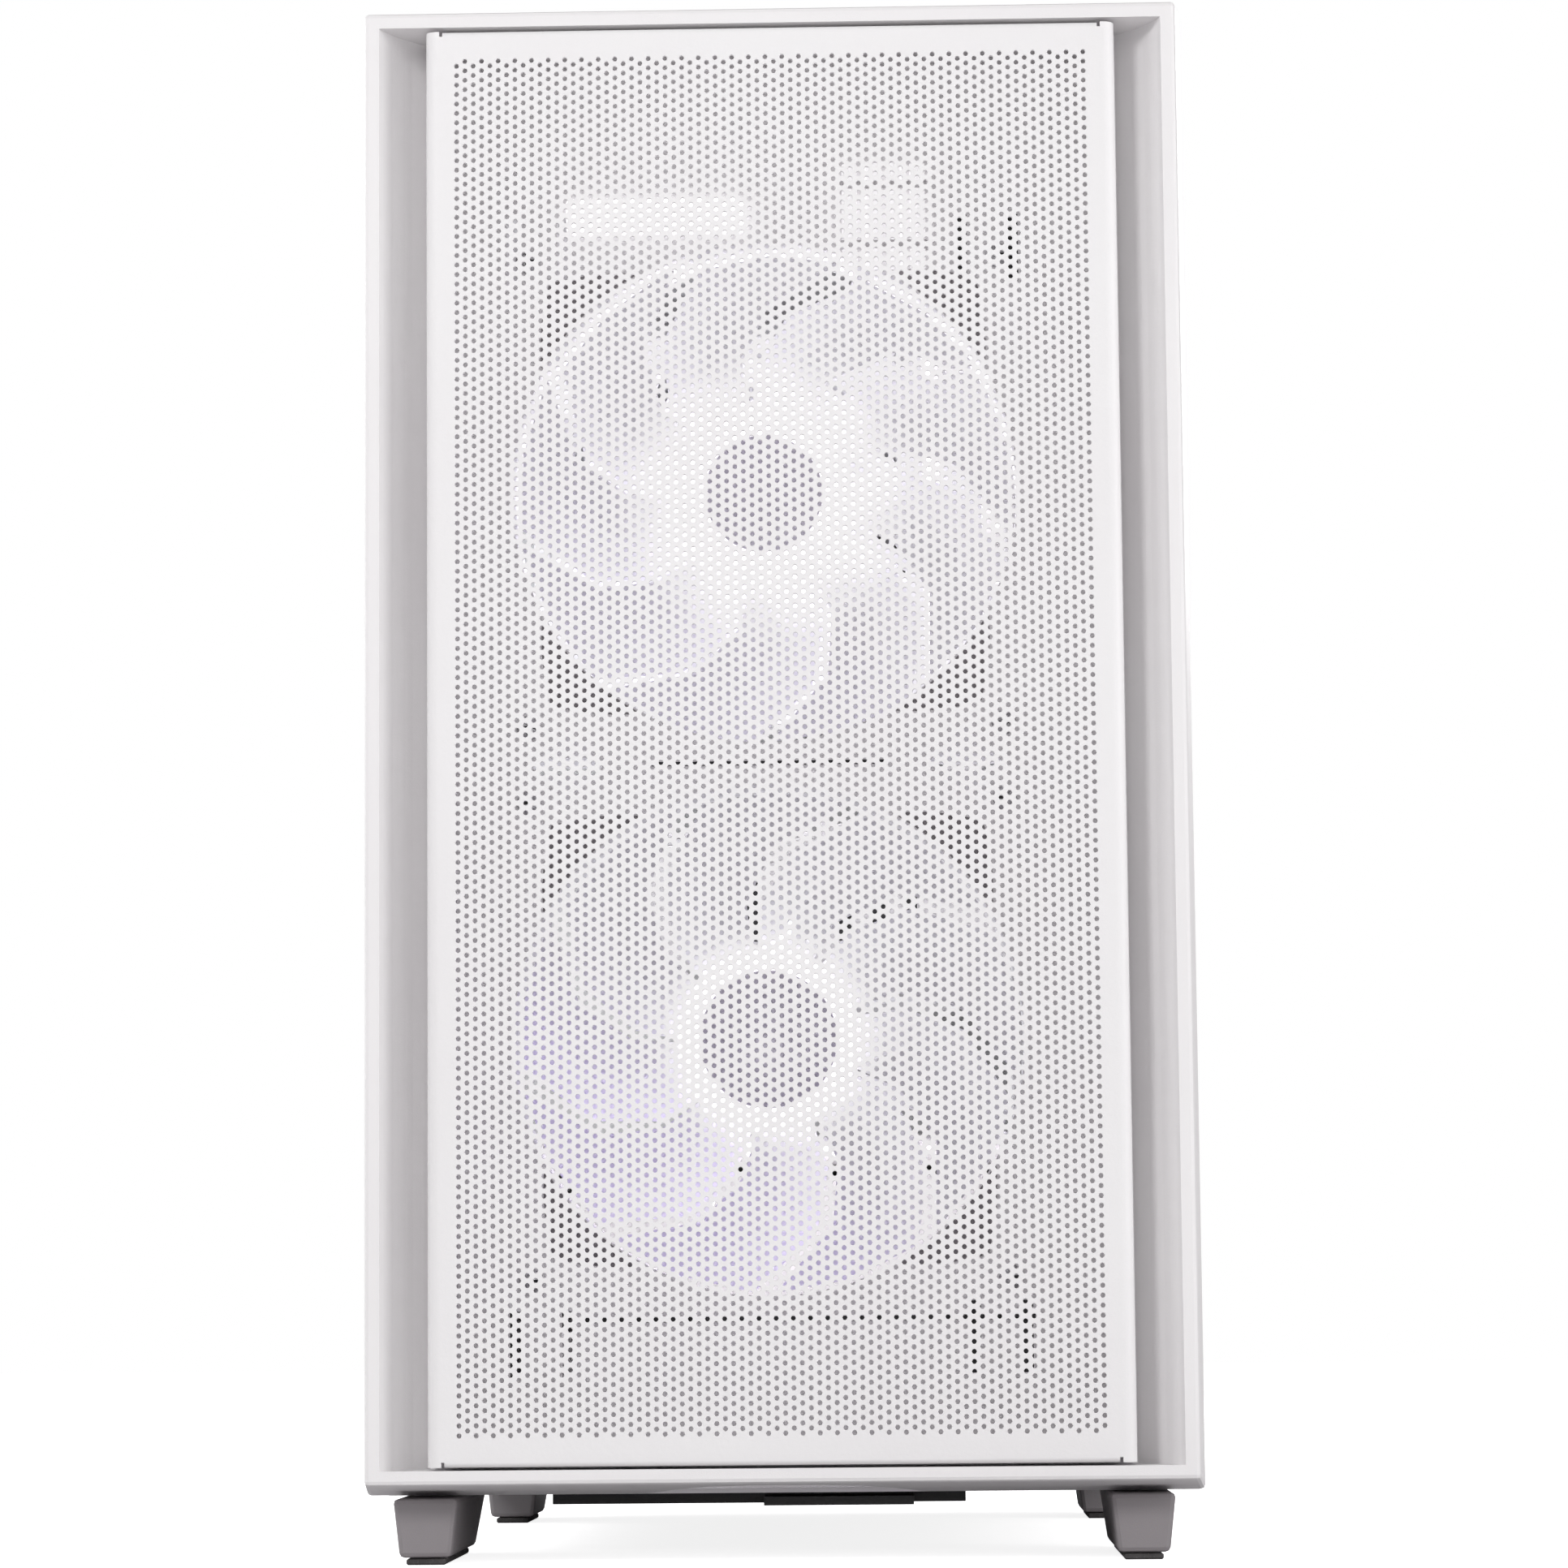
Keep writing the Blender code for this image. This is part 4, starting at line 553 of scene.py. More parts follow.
def cell_pair(pitch, spacing, hole, rim, thickness):
    """Two neighbouring columns' holes, the second half a pitch up. Each tile has a hole with a
    pressed rim in front and a plain edge at the back. The sheet's face is at y 0."""
    bm = bmesh.new()

    def tile(centre_z, centre_x):
        parts = []
        for back in (False, True):
            grid = bmesh.ops.create_grid(bm, x_segments=2, y_segments=2, size=0.5)["verts"]
            bmesh.ops.scale(bm, vec=(spacing, pitch, 1), verts=grid)
            hub = min(grid, key=lambda v: v.co.length)
            bmesh.ops.dissolve_verts(bm, verts=[hub])
            grid = [v for v in grid if v.is_valid]
            plate = grid[0].link_faces[0]
            made = bmesh.ops.inset_individual(bm, faces=[plate], thickness=0.15 * pitch)["faces"]
            inner = list(plate.verts)
            for v in inner:
                v.co = v.co.normalized() * (hole if back else hole + rim)
            if not back:
                made += bmesh.ops.inset_individual(bm, faces=[plate], thickness=rim)["faces"]
                for v in plate.verts:
                    v.co = v.co.normalized() * hole
                    v.co.z = -rim * 0.9
                grid += inner
                wall = bmesh.ops.extrude_discrete_faces(bm, faces=[plate])["faces"][0]
                for v in wall.verts:
                    v.co.z = -thickness
                grid += list(wall.verts) + [v for f in made for v in f.verts]
                bmesh.ops.delete(bm, geom=[wall], context="FACES_ONLY")
            else:
                grid += inner
                bmesh.ops.delete(bm, geom=[plate], context="FACES_ONLY")
                bmesh.ops.translate(bm, vec=(0, 0, -thickness), verts=list(set(grid)))
            parts += grid
        parts = list({v for v in parts if v.is_valid})
        bmesh.ops.translate(bm, vec=(centre_x, centre_z, 0), verts=parts)

    tile(0, -spacing / 2)
    tile(pitch / 2, spacing / 2)
    bmesh.ops.remove_doubles(bm, verts=bm.verts, dist=TILE_MERGE)
    bmesh.ops.rotate(bm, cent=(0, 0, 0), matrix=Matrix.Rotation(math.pi / 2, 3, "X"),
                     verts=bm.verts)
    return bm


def repeated(bm, pairs, rows, pitch, spacing):
    """The pair of tiles repeated over the sheet, its doubled points merged."""
    mesh = bpy.data.meshes.new("tiles")
    bm.to_mesh(mesh)
    bm.free()
    carrier = bpy.data.objects.new("tiles", mesh)
    bpy.context.scene.collection.objects.link(carrier)
    for title, count, step in (("up", rows, (0, 0, pitch)), ("across", pairs, (2 * spacing, 0, 0))):
        array = carrier.modifiers.new(title, "ARRAY")
        array.use_relative_offset, array.use_constant_offset = False, True
        array.constant_offset_displace, array.count = step, count
        array.use_merge_vertices, array.merge_threshold = True, SHEET_MERGE
    bpy.context.view_layer.update()
    whole = bmesh.new()
    whole.from_mesh(carrier.evaluated_get(bpy.context.evaluated_depsgraph_get()).to_mesh())
    bpy.data.objects.remove(carrier)
    return whole


def perforated_strips(name, paint, body, low_x, low_z, pairs, rows, pitch, spacing, hole, rim,
                      thickness, face_y, strips, turn=None):
    """A field of staggered holes, made in strips. Half tiles without holes level the ends of
    the second columns."""
    made = []
    share = [pairs // strips + (1 if n < pairs % strips else 0) for n in range(strips)]
    column = low_x
    for number, count in enumerate(share):
        bm = repeated(cell_pair(pitch, spacing, hole, rim, thickness), count, rows, pitch, spacing)
        bottom = -pitch / 2
        ends = [e for e in bm.edges if e.is_boundary]
        for level, reach in ((0.0, -pitch / 2), (bottom + rows * pitch, pitch / 2)):
            stepped = [e for e in ends if e.is_valid
                       and all(abs(v.co.z - level) < pitch * 0.01 for v in e.verts)]
            grown = bmesh.ops.extrude_edge_only(bm, edges=stepped)["geom"]
            bmesh.ops.translate(bm, vec=(0, 0, reach),
                                verts=[g for g in grown if isinstance(g, bmesh.types.BMVert)])
        bmesh.ops.remove_doubles(bm, verts=bm.verts, dist=SHEET_MERGE)
        front_rim = [e for e in bm.edges if e.is_boundary and e.verts[0].co.y < thickness / 2]
        wall = bmesh.ops.extrude_edge_only(bm, edges=front_rim)["geom"]
        bmesh.ops.translate(bm, vec=(0, thickness, 0),
                            verts=[g for g in wall if isinstance(g, bmesh.types.BMVert)])
        bmesh.ops.remove_doubles(bm, verts=bm.verts, dist=SHEET_MERGE)
        bmesh.ops.translate(bm, vec=(column + spacing, face_y, low_z + pitch / 2), verts=bm.verts)
        column += 2 * spacing * count
        if turn is not None:
            bmesh.ops.transform(bm, matrix=turn, verts=bm.verts)
        bmesh.ops.recalc_face_normals(bm, faces=bm.faces)
        made.append(finish_piece(bm, f"{name}_{number + 1}", paint, body, smooth_below=30))
    return made


def outer_edges(bm, test):
    """The free edges whose two ends both pass a test."""
    return [e for e in bm.edges if e.is_boundary and all(test(v.co) for v in e.verts)]


def carry(bm, edges, move):
    """Draws edges out by a move and gives the new edges."""
    grown = bmesh.ops.extrude_edge_only(bm, edges=edges)["geom"]
    points = [g for g in grown if isinstance(g, bmesh.types.BMVert)]
    bmesh.ops.translate(bm, vec=move, verts=points)
    return [g for g in grown if isinstance(g, bmesh.types.BMEdge)
            and all(v in points for v in g.verts)]


def fold(bm, edges, centre, axis, angle, steps=5):
    """Bends a sheet's free edges round an axis and gives the last edges."""
    geom = edges + list({v for e in edges for v in e.verts})
    last = bmesh.ops.spin(bm, geom=geom, cent=centre, axis=axis, angle=angle, steps=steps,
                          use_merge=False, use_duplicate=False)["geom_last"]
    return [g for g in last if isinstance(g, bmesh.types.BMEdge)]


def near(value, place):
    return abs(value - place) < 0.02 * MM


# ---- Front panel ------------------------------------------------------------------------------

panel_low, panel_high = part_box("front_mesh_panel")
HOLE_PITCH, HOLE_SPACING = 2.5 * MM, 2.165 * MM
HOLE_RADIUS, HOLE_RIM = 0.65 * MM, 0.11 * MM
HOLE_PAIRS, HOLE_ROWS = 38, 142
SHEET, BEND = 1.0 * MM, 3.0 * MM
TOP_BEND, NOTCH, NOTCH_INSET = 1.3 * MM, 0.8 * MM, 0.6 * MM


def make_panel_field():
    field_width = 2 * HOLE_PAIRS * HOLE_SPACING
    field_height = (HOLE_ROWS + 0.5) * HOLE_PITCH
    low_x = (panel_low.x + panel_high.x - field_width) / 2
    low_z = (panel_low.z + panel_high.z - field_height) / 2
    strips = perforated_strips("front_panel_holes", white_panel_paint, "front_panel",
                               low_x, low_z, HOLE_PAIRS, HOLE_ROWS, HOLE_PITCH, HOLE_SPACING,
                               HOLE_RADIUS, HOLE_RIM, SHEET, panel_low.y, strips=5)
    for strip in strips:
        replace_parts(strip, "front_mesh_panel")
    return low_x, low_x + field_width, low_z, low_z + field_height


def make_panel_border(left, right, bottom, top):
    """The plain margin round the holes and the bent edges, with relief notches at the corners."""
    low, high = panel_low + Vector((BEND, 0, TOP_BEND)), panel_high - Vector((BEND, 0, TOP_BEND))
    bm = bmesh.new()
    bmesh.ops.create_grid(bm, x_segments=1, y_segments=1, size=0.5)
    bmesh.ops.rotate(bm, cent=(0, 0, 0), matrix=Matrix.Rotation(math.pi / 2, 3, "X"),
                     verts=bm.verts)
    bmesh.ops.scale(bm, vec=(high.x - low.x, 1, high.z - low.z), verts=bm.verts)
    bmesh.ops.translate(bm, vec=((low.x + high.x) / 2, low.y, (low.z + high.z) / 2),
                        verts=bm.verts)
    plate = list(bm.faces)
    bmesh.ops.inset_individual(bm, faces=plate, thickness=BEND)
    for v in plate[0].verts:
        v.co.x = left if v.co.x < 0 else right
        v.co.z = bottom if v.co.z < (low.z + high.z) / 2 else top
    bmesh.ops.delete(bm, geom=plate, context="FACES_ONLY")
    flange_end = high.x - NOTCH_INSET
    for place in (-flange_end, -flange_end + NOTCH, flange_end - NOTCH, flange_end):
        bmesh.ops.bisect_plane(bm, geom=bm.verts[:] + bm.edges[:] + bm.faces[:],
                               plane_co=(place, 0, 0), plane_no=RIGHT, dist=POINT_MERGE)
    depth = panel_high.y - panel_low.y - TOP_BEND
    middle_z = (low.z + high.z) / 2
    for level, sign in ((low.z, 1), (high.z, -1)):
        edges = outer_edges(bm, lambda co: near(co.z, level)
                            and abs(co.x) < flange_end - NOTCH + 0.01 * MM)
        bent = fold(bm, edges, (0, low.y + TOP_BEND, level), RIGHT, sign * math.pi / 2)
        carry(bm, bent, (0, depth, 0))
    for level, sign in ((low.x, -1), (high.x, 1)):
        edges = outer_edges(bm, lambda co: near(co.x, level))
        bent = fold(bm, edges, (level, low.y + BEND, middle_z), UP, sign * math.pi / 2)
        carry(bm, bent, (0, depth + TOP_BEND - BEND, 0))
    for level, reach in ((low.z, -TOP_BEND), (high.z, TOP_BEND)):
        edges = outer_edges(bm, lambda co: near(co.z, level) and abs(co.x) > flange_end - 0.01 * MM)
        carry(bm, edges, (0, 0, reach))
    bmesh.ops.remove_doubles(bm, verts=bm.verts, dist=TILE_MERGE)
    bmesh.ops.recalc_face_normals(bm, faces=bm.faces)
    front = min(bm.faces, key=lambda f: f.calc_center_median().y)
    if front.normal.y > 0:
        bmesh.ops.reverse_faces(bm, faces=bm.faces)
    bmesh.ops.solidify(bm, geom=bm.faces[:], thickness=SHEET)
    bmesh.ops.recalc_face_normals(bm, faces=bm.faces)
    piece = finish_piece(bm, "front_panel_border", white_panel_paint, "front_panel")
    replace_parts(piece, "front_mesh_panel")


make_panel_border(*make_panel_field())


# ---- Fasteners --------------------------------------------------------------------------------

def screw_head(place, direction, radius, height):
    """A pan head; its cross slot is a thin black inlay of painted shade on top."""
    bm = turned([(0, 0), (radius, 0), (radius, 0.35 * height), (0.86 * radius, 0.75 * height),
                 (0.55 * radius, height), (0, height)], (0, 0, 0), UP, steps=20)
    for turn in (0, math.pi / 2):
        arm = block((-0.62 * radius, -0.12 * radius, 0.98 * height),
                    (0.62 * radius, 0.12 * radius, 1.04 * height))
        bmesh.ops.rotate(arm, cent=(0, 0, 0), matrix=Matrix.Rotation(turn, 3, "Z"), verts=arm.verts)
        slots.append(copied(arm, Matrix.Translation(place) @ toward(direction)))
        arm.free()
    bmesh.ops.transform(bm, matrix=Matrix.Translation(place) @ toward(direction), verts=bm.verts)
    return bm


slots = []


def add_screws(name, places, direction, radius=3.0 * MM, height=1.6 * MM, body="case"):
    """Bright screws with dark cross slots."""
    finish_piece(join([screw_head(p, direction, radius, height) for p in places]), name,
                 steel_plain, body)
    # The cross slots are thin black inlays: painted shade in the screw recesses.
    finish_piece(join(slots), name + "_slots", black_plastic_and_painted_shade, body)
    slots.clear()


# ---- Fans -------------------------------------------------------------------------------------

def dress_hub(name, node, body, direction, hub, share, glow, film):
    """A hub's cap film and the clear ring round it, on the side that a direction faces."""
    direction = Vector(direction)
    low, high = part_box(node)
    axis = max(range(3), key=lambda n: abs(direction[n]))
    face = middle(node)
    face[axis] = low[axis] if direction[axis] < 0 else high[axis]
    cap = [(0, 0), (share * hub, 0), (share * hub, 0.25 * MM), ((share - 0.04) * hub, 0.5 * MM),
           (0.3 * hub, 0.6 * MM), (0, 0.62 * MM)]
    finish_piece(turned(cap, face, direction, 48), name + "_hub_cap", film, body)
    inner, width = share + 0.02, 0.96 - share
    band = [((inner + part * width) * hub, height * MM) for part, height in
            ((0, 0), (1, 0), (0.96, 0.35), (0.75, 0.8), (0.5, 0.95), (0.2, 0.8), (0, 0.35))]
    bm = set_down(spun(band, 48, True), face, direction)
    finish_piece(bm, name + "_hub_ring", glow, body)


FAN_HUBS = (
    ("front_fan_upper", "upper_front_rotor", FORWARD, 24.0, 0.65, light_ring_plastic, hub_cap_film),
    ("front_fan_lower", "lower_front_rotor", FORWARD, 24.0, 0.75, light_ring_plastic, hub_cap_film),
    ("rear_fan", "rear_rotor", FORWARD, 20.0, 0.68, light_ring_plastic, hub_cap_film),
    ("processor_fan", "processor_rotor", FORWARD, 20.0, 0.68, light_ring_plastic, hub_cap_film),
    ("power_supply", "supply_rotor", DOWN, 18.0, 0.68, black_plastic_and_painted_shade, steel_plain),
    ("graphics_card_1", "card_rotor_1", DOWN, 13.0, 0.68, glowing_blade_plastic, nickel_plate),
    ("graphics_card_2", "card_rotor_2", DOWN, 13.0, 0.68, glowing_blade_plastic, nickel_plate),
)
for fan, body, way, hub, share, glow, film in FAN_HUBS:
    rotor = fan[:-2] + "_rotor_" + fan[-1] if fan[-1] in "12" else fan + "_rotor"
    dress_hub(fan, rotor, body, way, hub * MM, share, glow, film)


def add_fan_leads():
    """Each front fan's flat lead, clipped along the back of its frame."""
    for node in ("front_fan_upper_frame", "front_fan_lower_frame"):
        low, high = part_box(node)
        x, y = high.x - 6 * MM, high.y + 1.4 * MM
        wires = [tube([(x + step * MM, y, low.z + 20 * MM), (x + step * MM, y, low.z + 60 * MM),
                       (x + step * MM, y, high.z - 16 * MM)], 0.55 * MM, 6, 1)
                 for step in (0, 1.2, 2.4, 3.6)]
        finish_piece(join(wires), node[:-6] + "_lead", cable_skin, "case")


add_fan_leads()


# ---- Behind the front panel -------------------------------------------------------------------

def add_front_plate_parts():
    """Screws on the plate, a pull tab over the upper fan and a comb of lead ends beside it."""
    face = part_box("chassis_front_plate")[0].y
    places = []
    for node in ("front_fan_upper_frame", "front_fan_lower_frame"):
        centre = middle(node)
        places += [(centre.x + side * 62.25 * MM, face, centre.z + level * 62.25 * MM)
                   for side in (-1, 1) for level in (-1, 1)]
    add_screws("front_fan_screws", places, FORWARD, 3.2 * MM, 1.5 * MM)
    # The tab and the lead bundle below carry painted glow.
    tab = block((-55 * MM, face - 3.2 * MM, 347.5 * MM), (-7 * MM, face - 0.2 * MM, 357 * MM),
                1.2 * MM, 3)
    finish_piece(tab, "front_plate_pull_tab", tab_painted_glow, "case")
    bars = [tube([(x * MM, face - 2.2 * MM, 337 * MM), (x * MM, face - 2.6 * MM, 351 * MM),
                  (x * MM, face - 2.2 * MM, 365 * MM)], 2.0 * MM, 8, 1)
            for x in (20, 26, 32, 38)]
    ties = [block((17.5 * MM, face - 4.6 * MM, z * MM),
                  (40.5 * MM, face - 0.3 * MM, (z + 2.4) * MM),
                  0.6 * MM) for z in (342, 358)]
    finish_piece(join(bars), "front_lead_bundle", front_lead_painted_glow, "case")
    finish_piece(join(ties), "front_lead_ties", white_moulding, "case")


def add_front_plate_shades():
    """Painted shade: dark inlays at each fan's corners, in the screw slots and along the fans' seams,
    where the recesses behind the plate lie in shadow.
    """
    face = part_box("chassis_front_plate")[0].y
    depth = 0.12 * MM
    for node in ("front_fan_upper_frame", "front_fan_lower_frame"):
        centre = middle(node)
        corners = []
        for number in range(4):
            bm = bmesh.new()
            outline = [bm.verts.new((x * MM, 0, z)) for x, z in
                       ((67.2, 0), (74.0, 0), (74.0, depth), (67.2, depth))]
            bm.faces.new(outline)
            bmesh.ops.spin(bm, geom=bm.verts[:] + bm.edges[:] + bm.faces[:], axis=UP,
                           cent=(0, 0, 0), angle=math.radians(30), steps=8, use_merge=False,
                           use_duplicate=False)
            for v in bm.verts:
                turn = abs(math.atan2(v.co.y, v.co.x) - math.radians(15)) / math.radians(15)
                reach = math.hypot(v.co.x, v.co.y)
                if reach > 70 * MM:
                    v.co.x, v.co.y = (c * (67.8 * MM + 12 * MM * (1 - turn)) / reach
                                      for c in (v.co.x, v.co.y))
            bmesh.ops.recalc_face_normals(bm, faces=bm.faces)
            bmesh.ops.rotate(bm, cent=(0, 0, 0), verts=bm.verts, matrix=Matrix.Rotation(
                number * math.pi / 2 + math.radians(30), 3, "Z"))
            corners.append(set_down(bm, (centre.x, face - 0.01 * MM, centre.z), FORWARD))
        finish_piece(join(corners), node[:-6] + "_corner_shades", painted_plate_shade, "case")
    shades = [((-3.3, (face - 0.06 * MM) / MM, 206.2), (62, 0.12, 1.1)),
              ((6, (face - 0.06 * MM) / MM, 61.5), (118, 0.12, 1.3))]
    shades += [((-3.3 + x, face / MM + 0.9, z), (3.4, 0.3, tall))
               for x in (52.5, 66) for z, tall in ((56.5, 18.6), (343, 17.6))]
    cluster("front_plate_shades", shades, black_plastic_and_painted_shade, soft=0.0)


add_front_plate_parts()
add_front_plate_shades()


# ---- Top filter -------------------------------------------------------------------------------

def weave_finish():
    """Fine black woven mesh."""
    paint = coated("fine filter mesh", (0.05, 0.05, 0.052), (0.09, 0.09, 0.092), 0.6, 0.8,
                   ripple=2600.0, depth=0.00004, dust=0.25)
    tree = paint.node_tree
    surface, place = tree.nodes["Principled BSDF"], object_place(tree)
    heights = []
    for direction in ("X", "Y"):
        thread = tree.nodes.new("ShaderNodeTexWave")
        thread.bands_direction = direction
        tree.links.new(place, thread.inputs["Vector"])
        thread.inputs["Scale"].default_value = 520.0
        heights.append(thread.outputs["Fac"])
    crossed = sums(tree, "MAXIMUM", heights[0], heights[1])
    bump = tree.nodes.new("ShaderNodeBump")
    bump.inputs["Distance"].default_value = 0.0002
    tree.links.new(crossed, bump.inputs["Height"])
    tree.links.new(bump.outputs[0], surface.inputs["Normal"])
    return paint


filter_mesh = weave_finish()


def framed(name, low, high, inset, paint, body):
    """A flat frame: a plate with its middle taken out, its edges softened."""
    bm = bmesh.new()
    bmesh.ops.create_grid(bm, x_segments=1, y_segments=1, size=0.5)
    bmesh.ops.scale(bm, vec=(high.x - low.x, high.y - low.y, 1), verts=bm.verts)
    bmesh.ops.translate(bm, vec=((low.x + high.x) / 2, (low.y + high.y) / 2, high.z),
                        verts=bm.verts)
    plate = list(bm.faces)
    bmesh.ops.inset_individual(bm, faces=plate, thickness=inset)
    bmesh.ops.delete(bm, geom=plate, context="FACES_ONLY")
    bmesh.ops.solidify(bm, geom=bm.faces[:], thickness=high.z - low.z)
    bmesh.ops.recalc_face_normals(bm, faces=bm.faces)
    lift = high.z - max(v.co.z for v in bm.verts)
    bmesh.ops.translate(bm, vec=(0, 0, lift), verts=bm.verts)
    soften(bm, sharp_edges(bm), 0.5 * MM, 2)
    return finish_piece(bm, name, paint, body)


def add_top_filter():
    """A moulded frame, a punched sheet in it and a fine mesh under the sheet."""
    low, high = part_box("top_dust_filter")
    border = 7 * MM
    rim = framed("top_filter_frame", low, high, border, white_moulding, "top_filter")
    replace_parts(rim, "top_dust_filter")
    pitch, spacing = 4.0 * MM, 3.464 * MM
    pairs = int((high.x - low.x - 2 * border) / (2 * spacing))
    rows = int((high.y - low.y - 2 * border) / pitch - 0.5)
    width, length = 2 * pairs * spacing, (rows + 0.5) * pitch
    centre = (low + high) / 2
    face = high.z - 0.3 * MM
    sheet = perforated_strips(
        "top_filter_holes", white_panel_paint, "top_filter",
        centre.x - width / 2, centre.y - length / 2, pairs, rows, pitch, spacing, 1.3 * MM,
        0.12 * MM, 0.6 * MM, -face, strips=2, turn=LAID_FLAT)
    for piece in sheet:
        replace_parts(piece, "top_dust_filter")
    inner = Vector((width / 2, length / 2, 0))
    fill = framed("top_filter_sheet_edge",
                  Vector((low.x + border, low.y + border, face - 0.6 * MM)),
                  Vector((high.x - border, high.y - border, face)),
                  (high.x - low.x) / 2 - border - inner.x, white_panel_paint, "top_filter")
    # The edge's inner ends move in or out to meet the last row of holes.
    for v in fill.data.vertices:
        inside = abs(v.co.y - centre.y) < (high.y - low.y) / 2 - border - 0.01 * MM
        if inside and abs(v.co.x - centre.x) < inner.x + 0.6 * MM:
            v.co.y = centre.y + math.copysign(inner.y, v.co.y - centre.y)
    mesh = block((low.x + border / 2, low.y + border / 2, low.z + 0.1 * MM),
                 (high.x - border / 2, high.y - border / 2, low.z + 0.4 * MM))
    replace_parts(finish_piece(mesh, "top_filter_mesh", filter_mesh, "top_filter"),
                "top_dust_filter")


add_top_filter()


# ---- Controls and ports on the top edge -------------------------------------------------------

def add_port_parts():
    """The tongues and contacts in the sockets, a ring round the power button and a collar in the audio
    jack.
    """
    tongues, contacts = [], []
    for node in ("usb_port_1", "usb_port_2"):
        low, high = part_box(node)
        centre = (low + high) / 2
        tongues.append(block((centre.x - 5.2 * MM, centre.y - 1.9 * MM, low.z + 2 * MM),
                             (centre.x + 5.2 * MM, centre.y - 0.1 * MM, high.z - 2.6 * MM),
                             0.2 * MM))
        contacts += [block((centre.x + x * MM - 0.5 * MM, centre.y - 0.1 * MM, low.z + 3 * MM),
                           (centre.x + x * MM + 0.5 * MM, centre.y + 0.08 * MM,
                            high.z - 3.2 * MM)) for x in (-3.5, -1.2, 1.2, 3.5)]
    low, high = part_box("usb_c_port")
    centre = (low + high) / 2
    tongues.append(block((centre.x - 3.2 * MM, centre.y - 0.35 * MM, low.z + 2 * MM),
                         (centre.x + 3.2 * MM, centre.y + 0.35 * MM, high.z - 1.6 * MM), 0.2 * MM))
    finish_piece(join(tongues), "top_port_tongues", port_blue, "case")
    finish_piece(join(contacts), "top_port_contacts", gold_plate, "case")
    low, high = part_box("power_button")
    top = Vector(((low.x + high.x) / 2, (low.y + high.y) / 2, high.z))
    finish_piece(ring(2.1 * MM, 2.6 * MM, -0.2 * MM, 0.06 * MM, top, UP, 40), "power_button_ring",
                 steel_plain, "power_button")
    low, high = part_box("audio_jack")
    mouth = Vector(((low.x + high.x) / 2, (low.y + high.y) / 2, high.z))
    finish_piece(ring(1.95 * MM, 2.5 * MM, -1.0 * MM, 0.05 * MM, mouth, UP, 32),
                 "audio_jack_collar",
                 gold_plate, "case")


add_port_parts()


# ---- Back -------------------------------------------------------------------------------------

def knurled_screw(node, body):
    """A thumbscrew with a ribbed rim and a cross slot."""
    low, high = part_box(node)
    radius, length = (high.x - low.x) / 2, high.y - low.y
    bm = bmesh.new()
    bmesh.ops.create_cone(bm, cap_ends=True, segments=48, radius1=radius, radius2=radius,
                          depth=length)
    for v in bm.verts:
        angle = round(math.atan2(v.co.y, v.co.x) / TURN * 48)
        if angle % 2:
            v.co.x, v.co.y = v.co.x * 0.95, v.co.y * 0.95
    caps = [f for f in bm.faces if len(f.verts) > 4]
    bmesh.ops.inset_individual(bm, faces=caps, thickness=0.12 * radius, depth=0.25 * MM)
    for end in (1, -1):
        bmesh.ops.translate(bm, vec=(0, 0, -end * 0.25 * MM),
                            verts=[v for v in bm.verts if end * v.co.z > length / 2])
    bmesh.ops.rotate(bm, cent=(0, 0, 0), matrix=Matrix.Rotation(-math.pi / 2, 3, "X"),
                     verts=bm.verts)
    centre = (low + high) / 2
    bmesh.ops.translate(bm, vec=centre, verts=bm.verts)
    piece = finish_piece(bm, node + "_knurled", steel_plain, body)
    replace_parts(piece, node)
    # The cross slot is a thin black inlay: painted shade in the recess.
    arms = [block((-0.5 * radius, -0.09 * radius, 0), (0.5 * radius, 0.09 * radius, 0.02 * MM)),
            block((-0.09 * radius, -0.5 * radius, 0), (0.09 * radius, 0.5 * radius, 0.02 * MM))]
    slot = join([copied(arm, Matrix.Translation((centre.x, high.y - 0.02 * MM, centre.z))
                        @ toward(BACK)) for arm in arms])
    finish_piece(slot, node + "_slot", black_plastic_and_painted_shade, body)


for side in ("glass", "steel"):
    for level in ("lower", "upper"):
        knurled_screw(f"{side}_thumbscrew_{level}", side + "_panel")


def add_wire_guard(name, centre, direction, radii, wire, spokes, body="case"):
    """Wire rings welded to spokes, in front of a fan."""
    parts = []
    for radius in radii:
        bm = bmesh.new()
        made = bmesh.ops.create_circle(bm, segments=8, radius=wire, cap_ends=False)["verts"]
        bmesh.ops.rotate(bm, cent=(0, 0, 0), matrix=Matrix.Rotation(math.pi / 2, 3, "X"),
                         verts=made)
        bmesh.ops.translate(bm, vec=(radius, 0, 0), verts=made)
        bmesh.ops.spin(bm, geom=bm.verts[:] + bm.edges[:], axis=UP, cent=(0, 0, 0), angle=TURN,
                       steps=56, use_merge=True, use_duplicate=False)
        bmesh.ops.remove_doubles(bm, verts=bm.verts, dist=POINT_MERGE)
        bmesh.ops.recalc_face_normals(bm, faces=bm.faces)
        parts.append(copied(bm, Matrix.Translation(centre) @ toward(direction)))
        bm.free()
    for number in range(spokes):
        angle = TURN * number / spokes + math.pi / 4
        way = Vector((math.cos(angle), math.sin(angle), 0))
        spoke = tube([way * radii[0], way * (radii[-1] * 0.5 + radii[0] * 0.5), way * radii[-1]],
                     wire, 8, 1)
        parts.append(copied(spoke, Matrix.Translation(Vector(centre) - Vector(direction) * wire * 2)
                            @ toward(direction)))
        spoke.free()
    return finish_piece(join(parts), name, steel_plain, body)


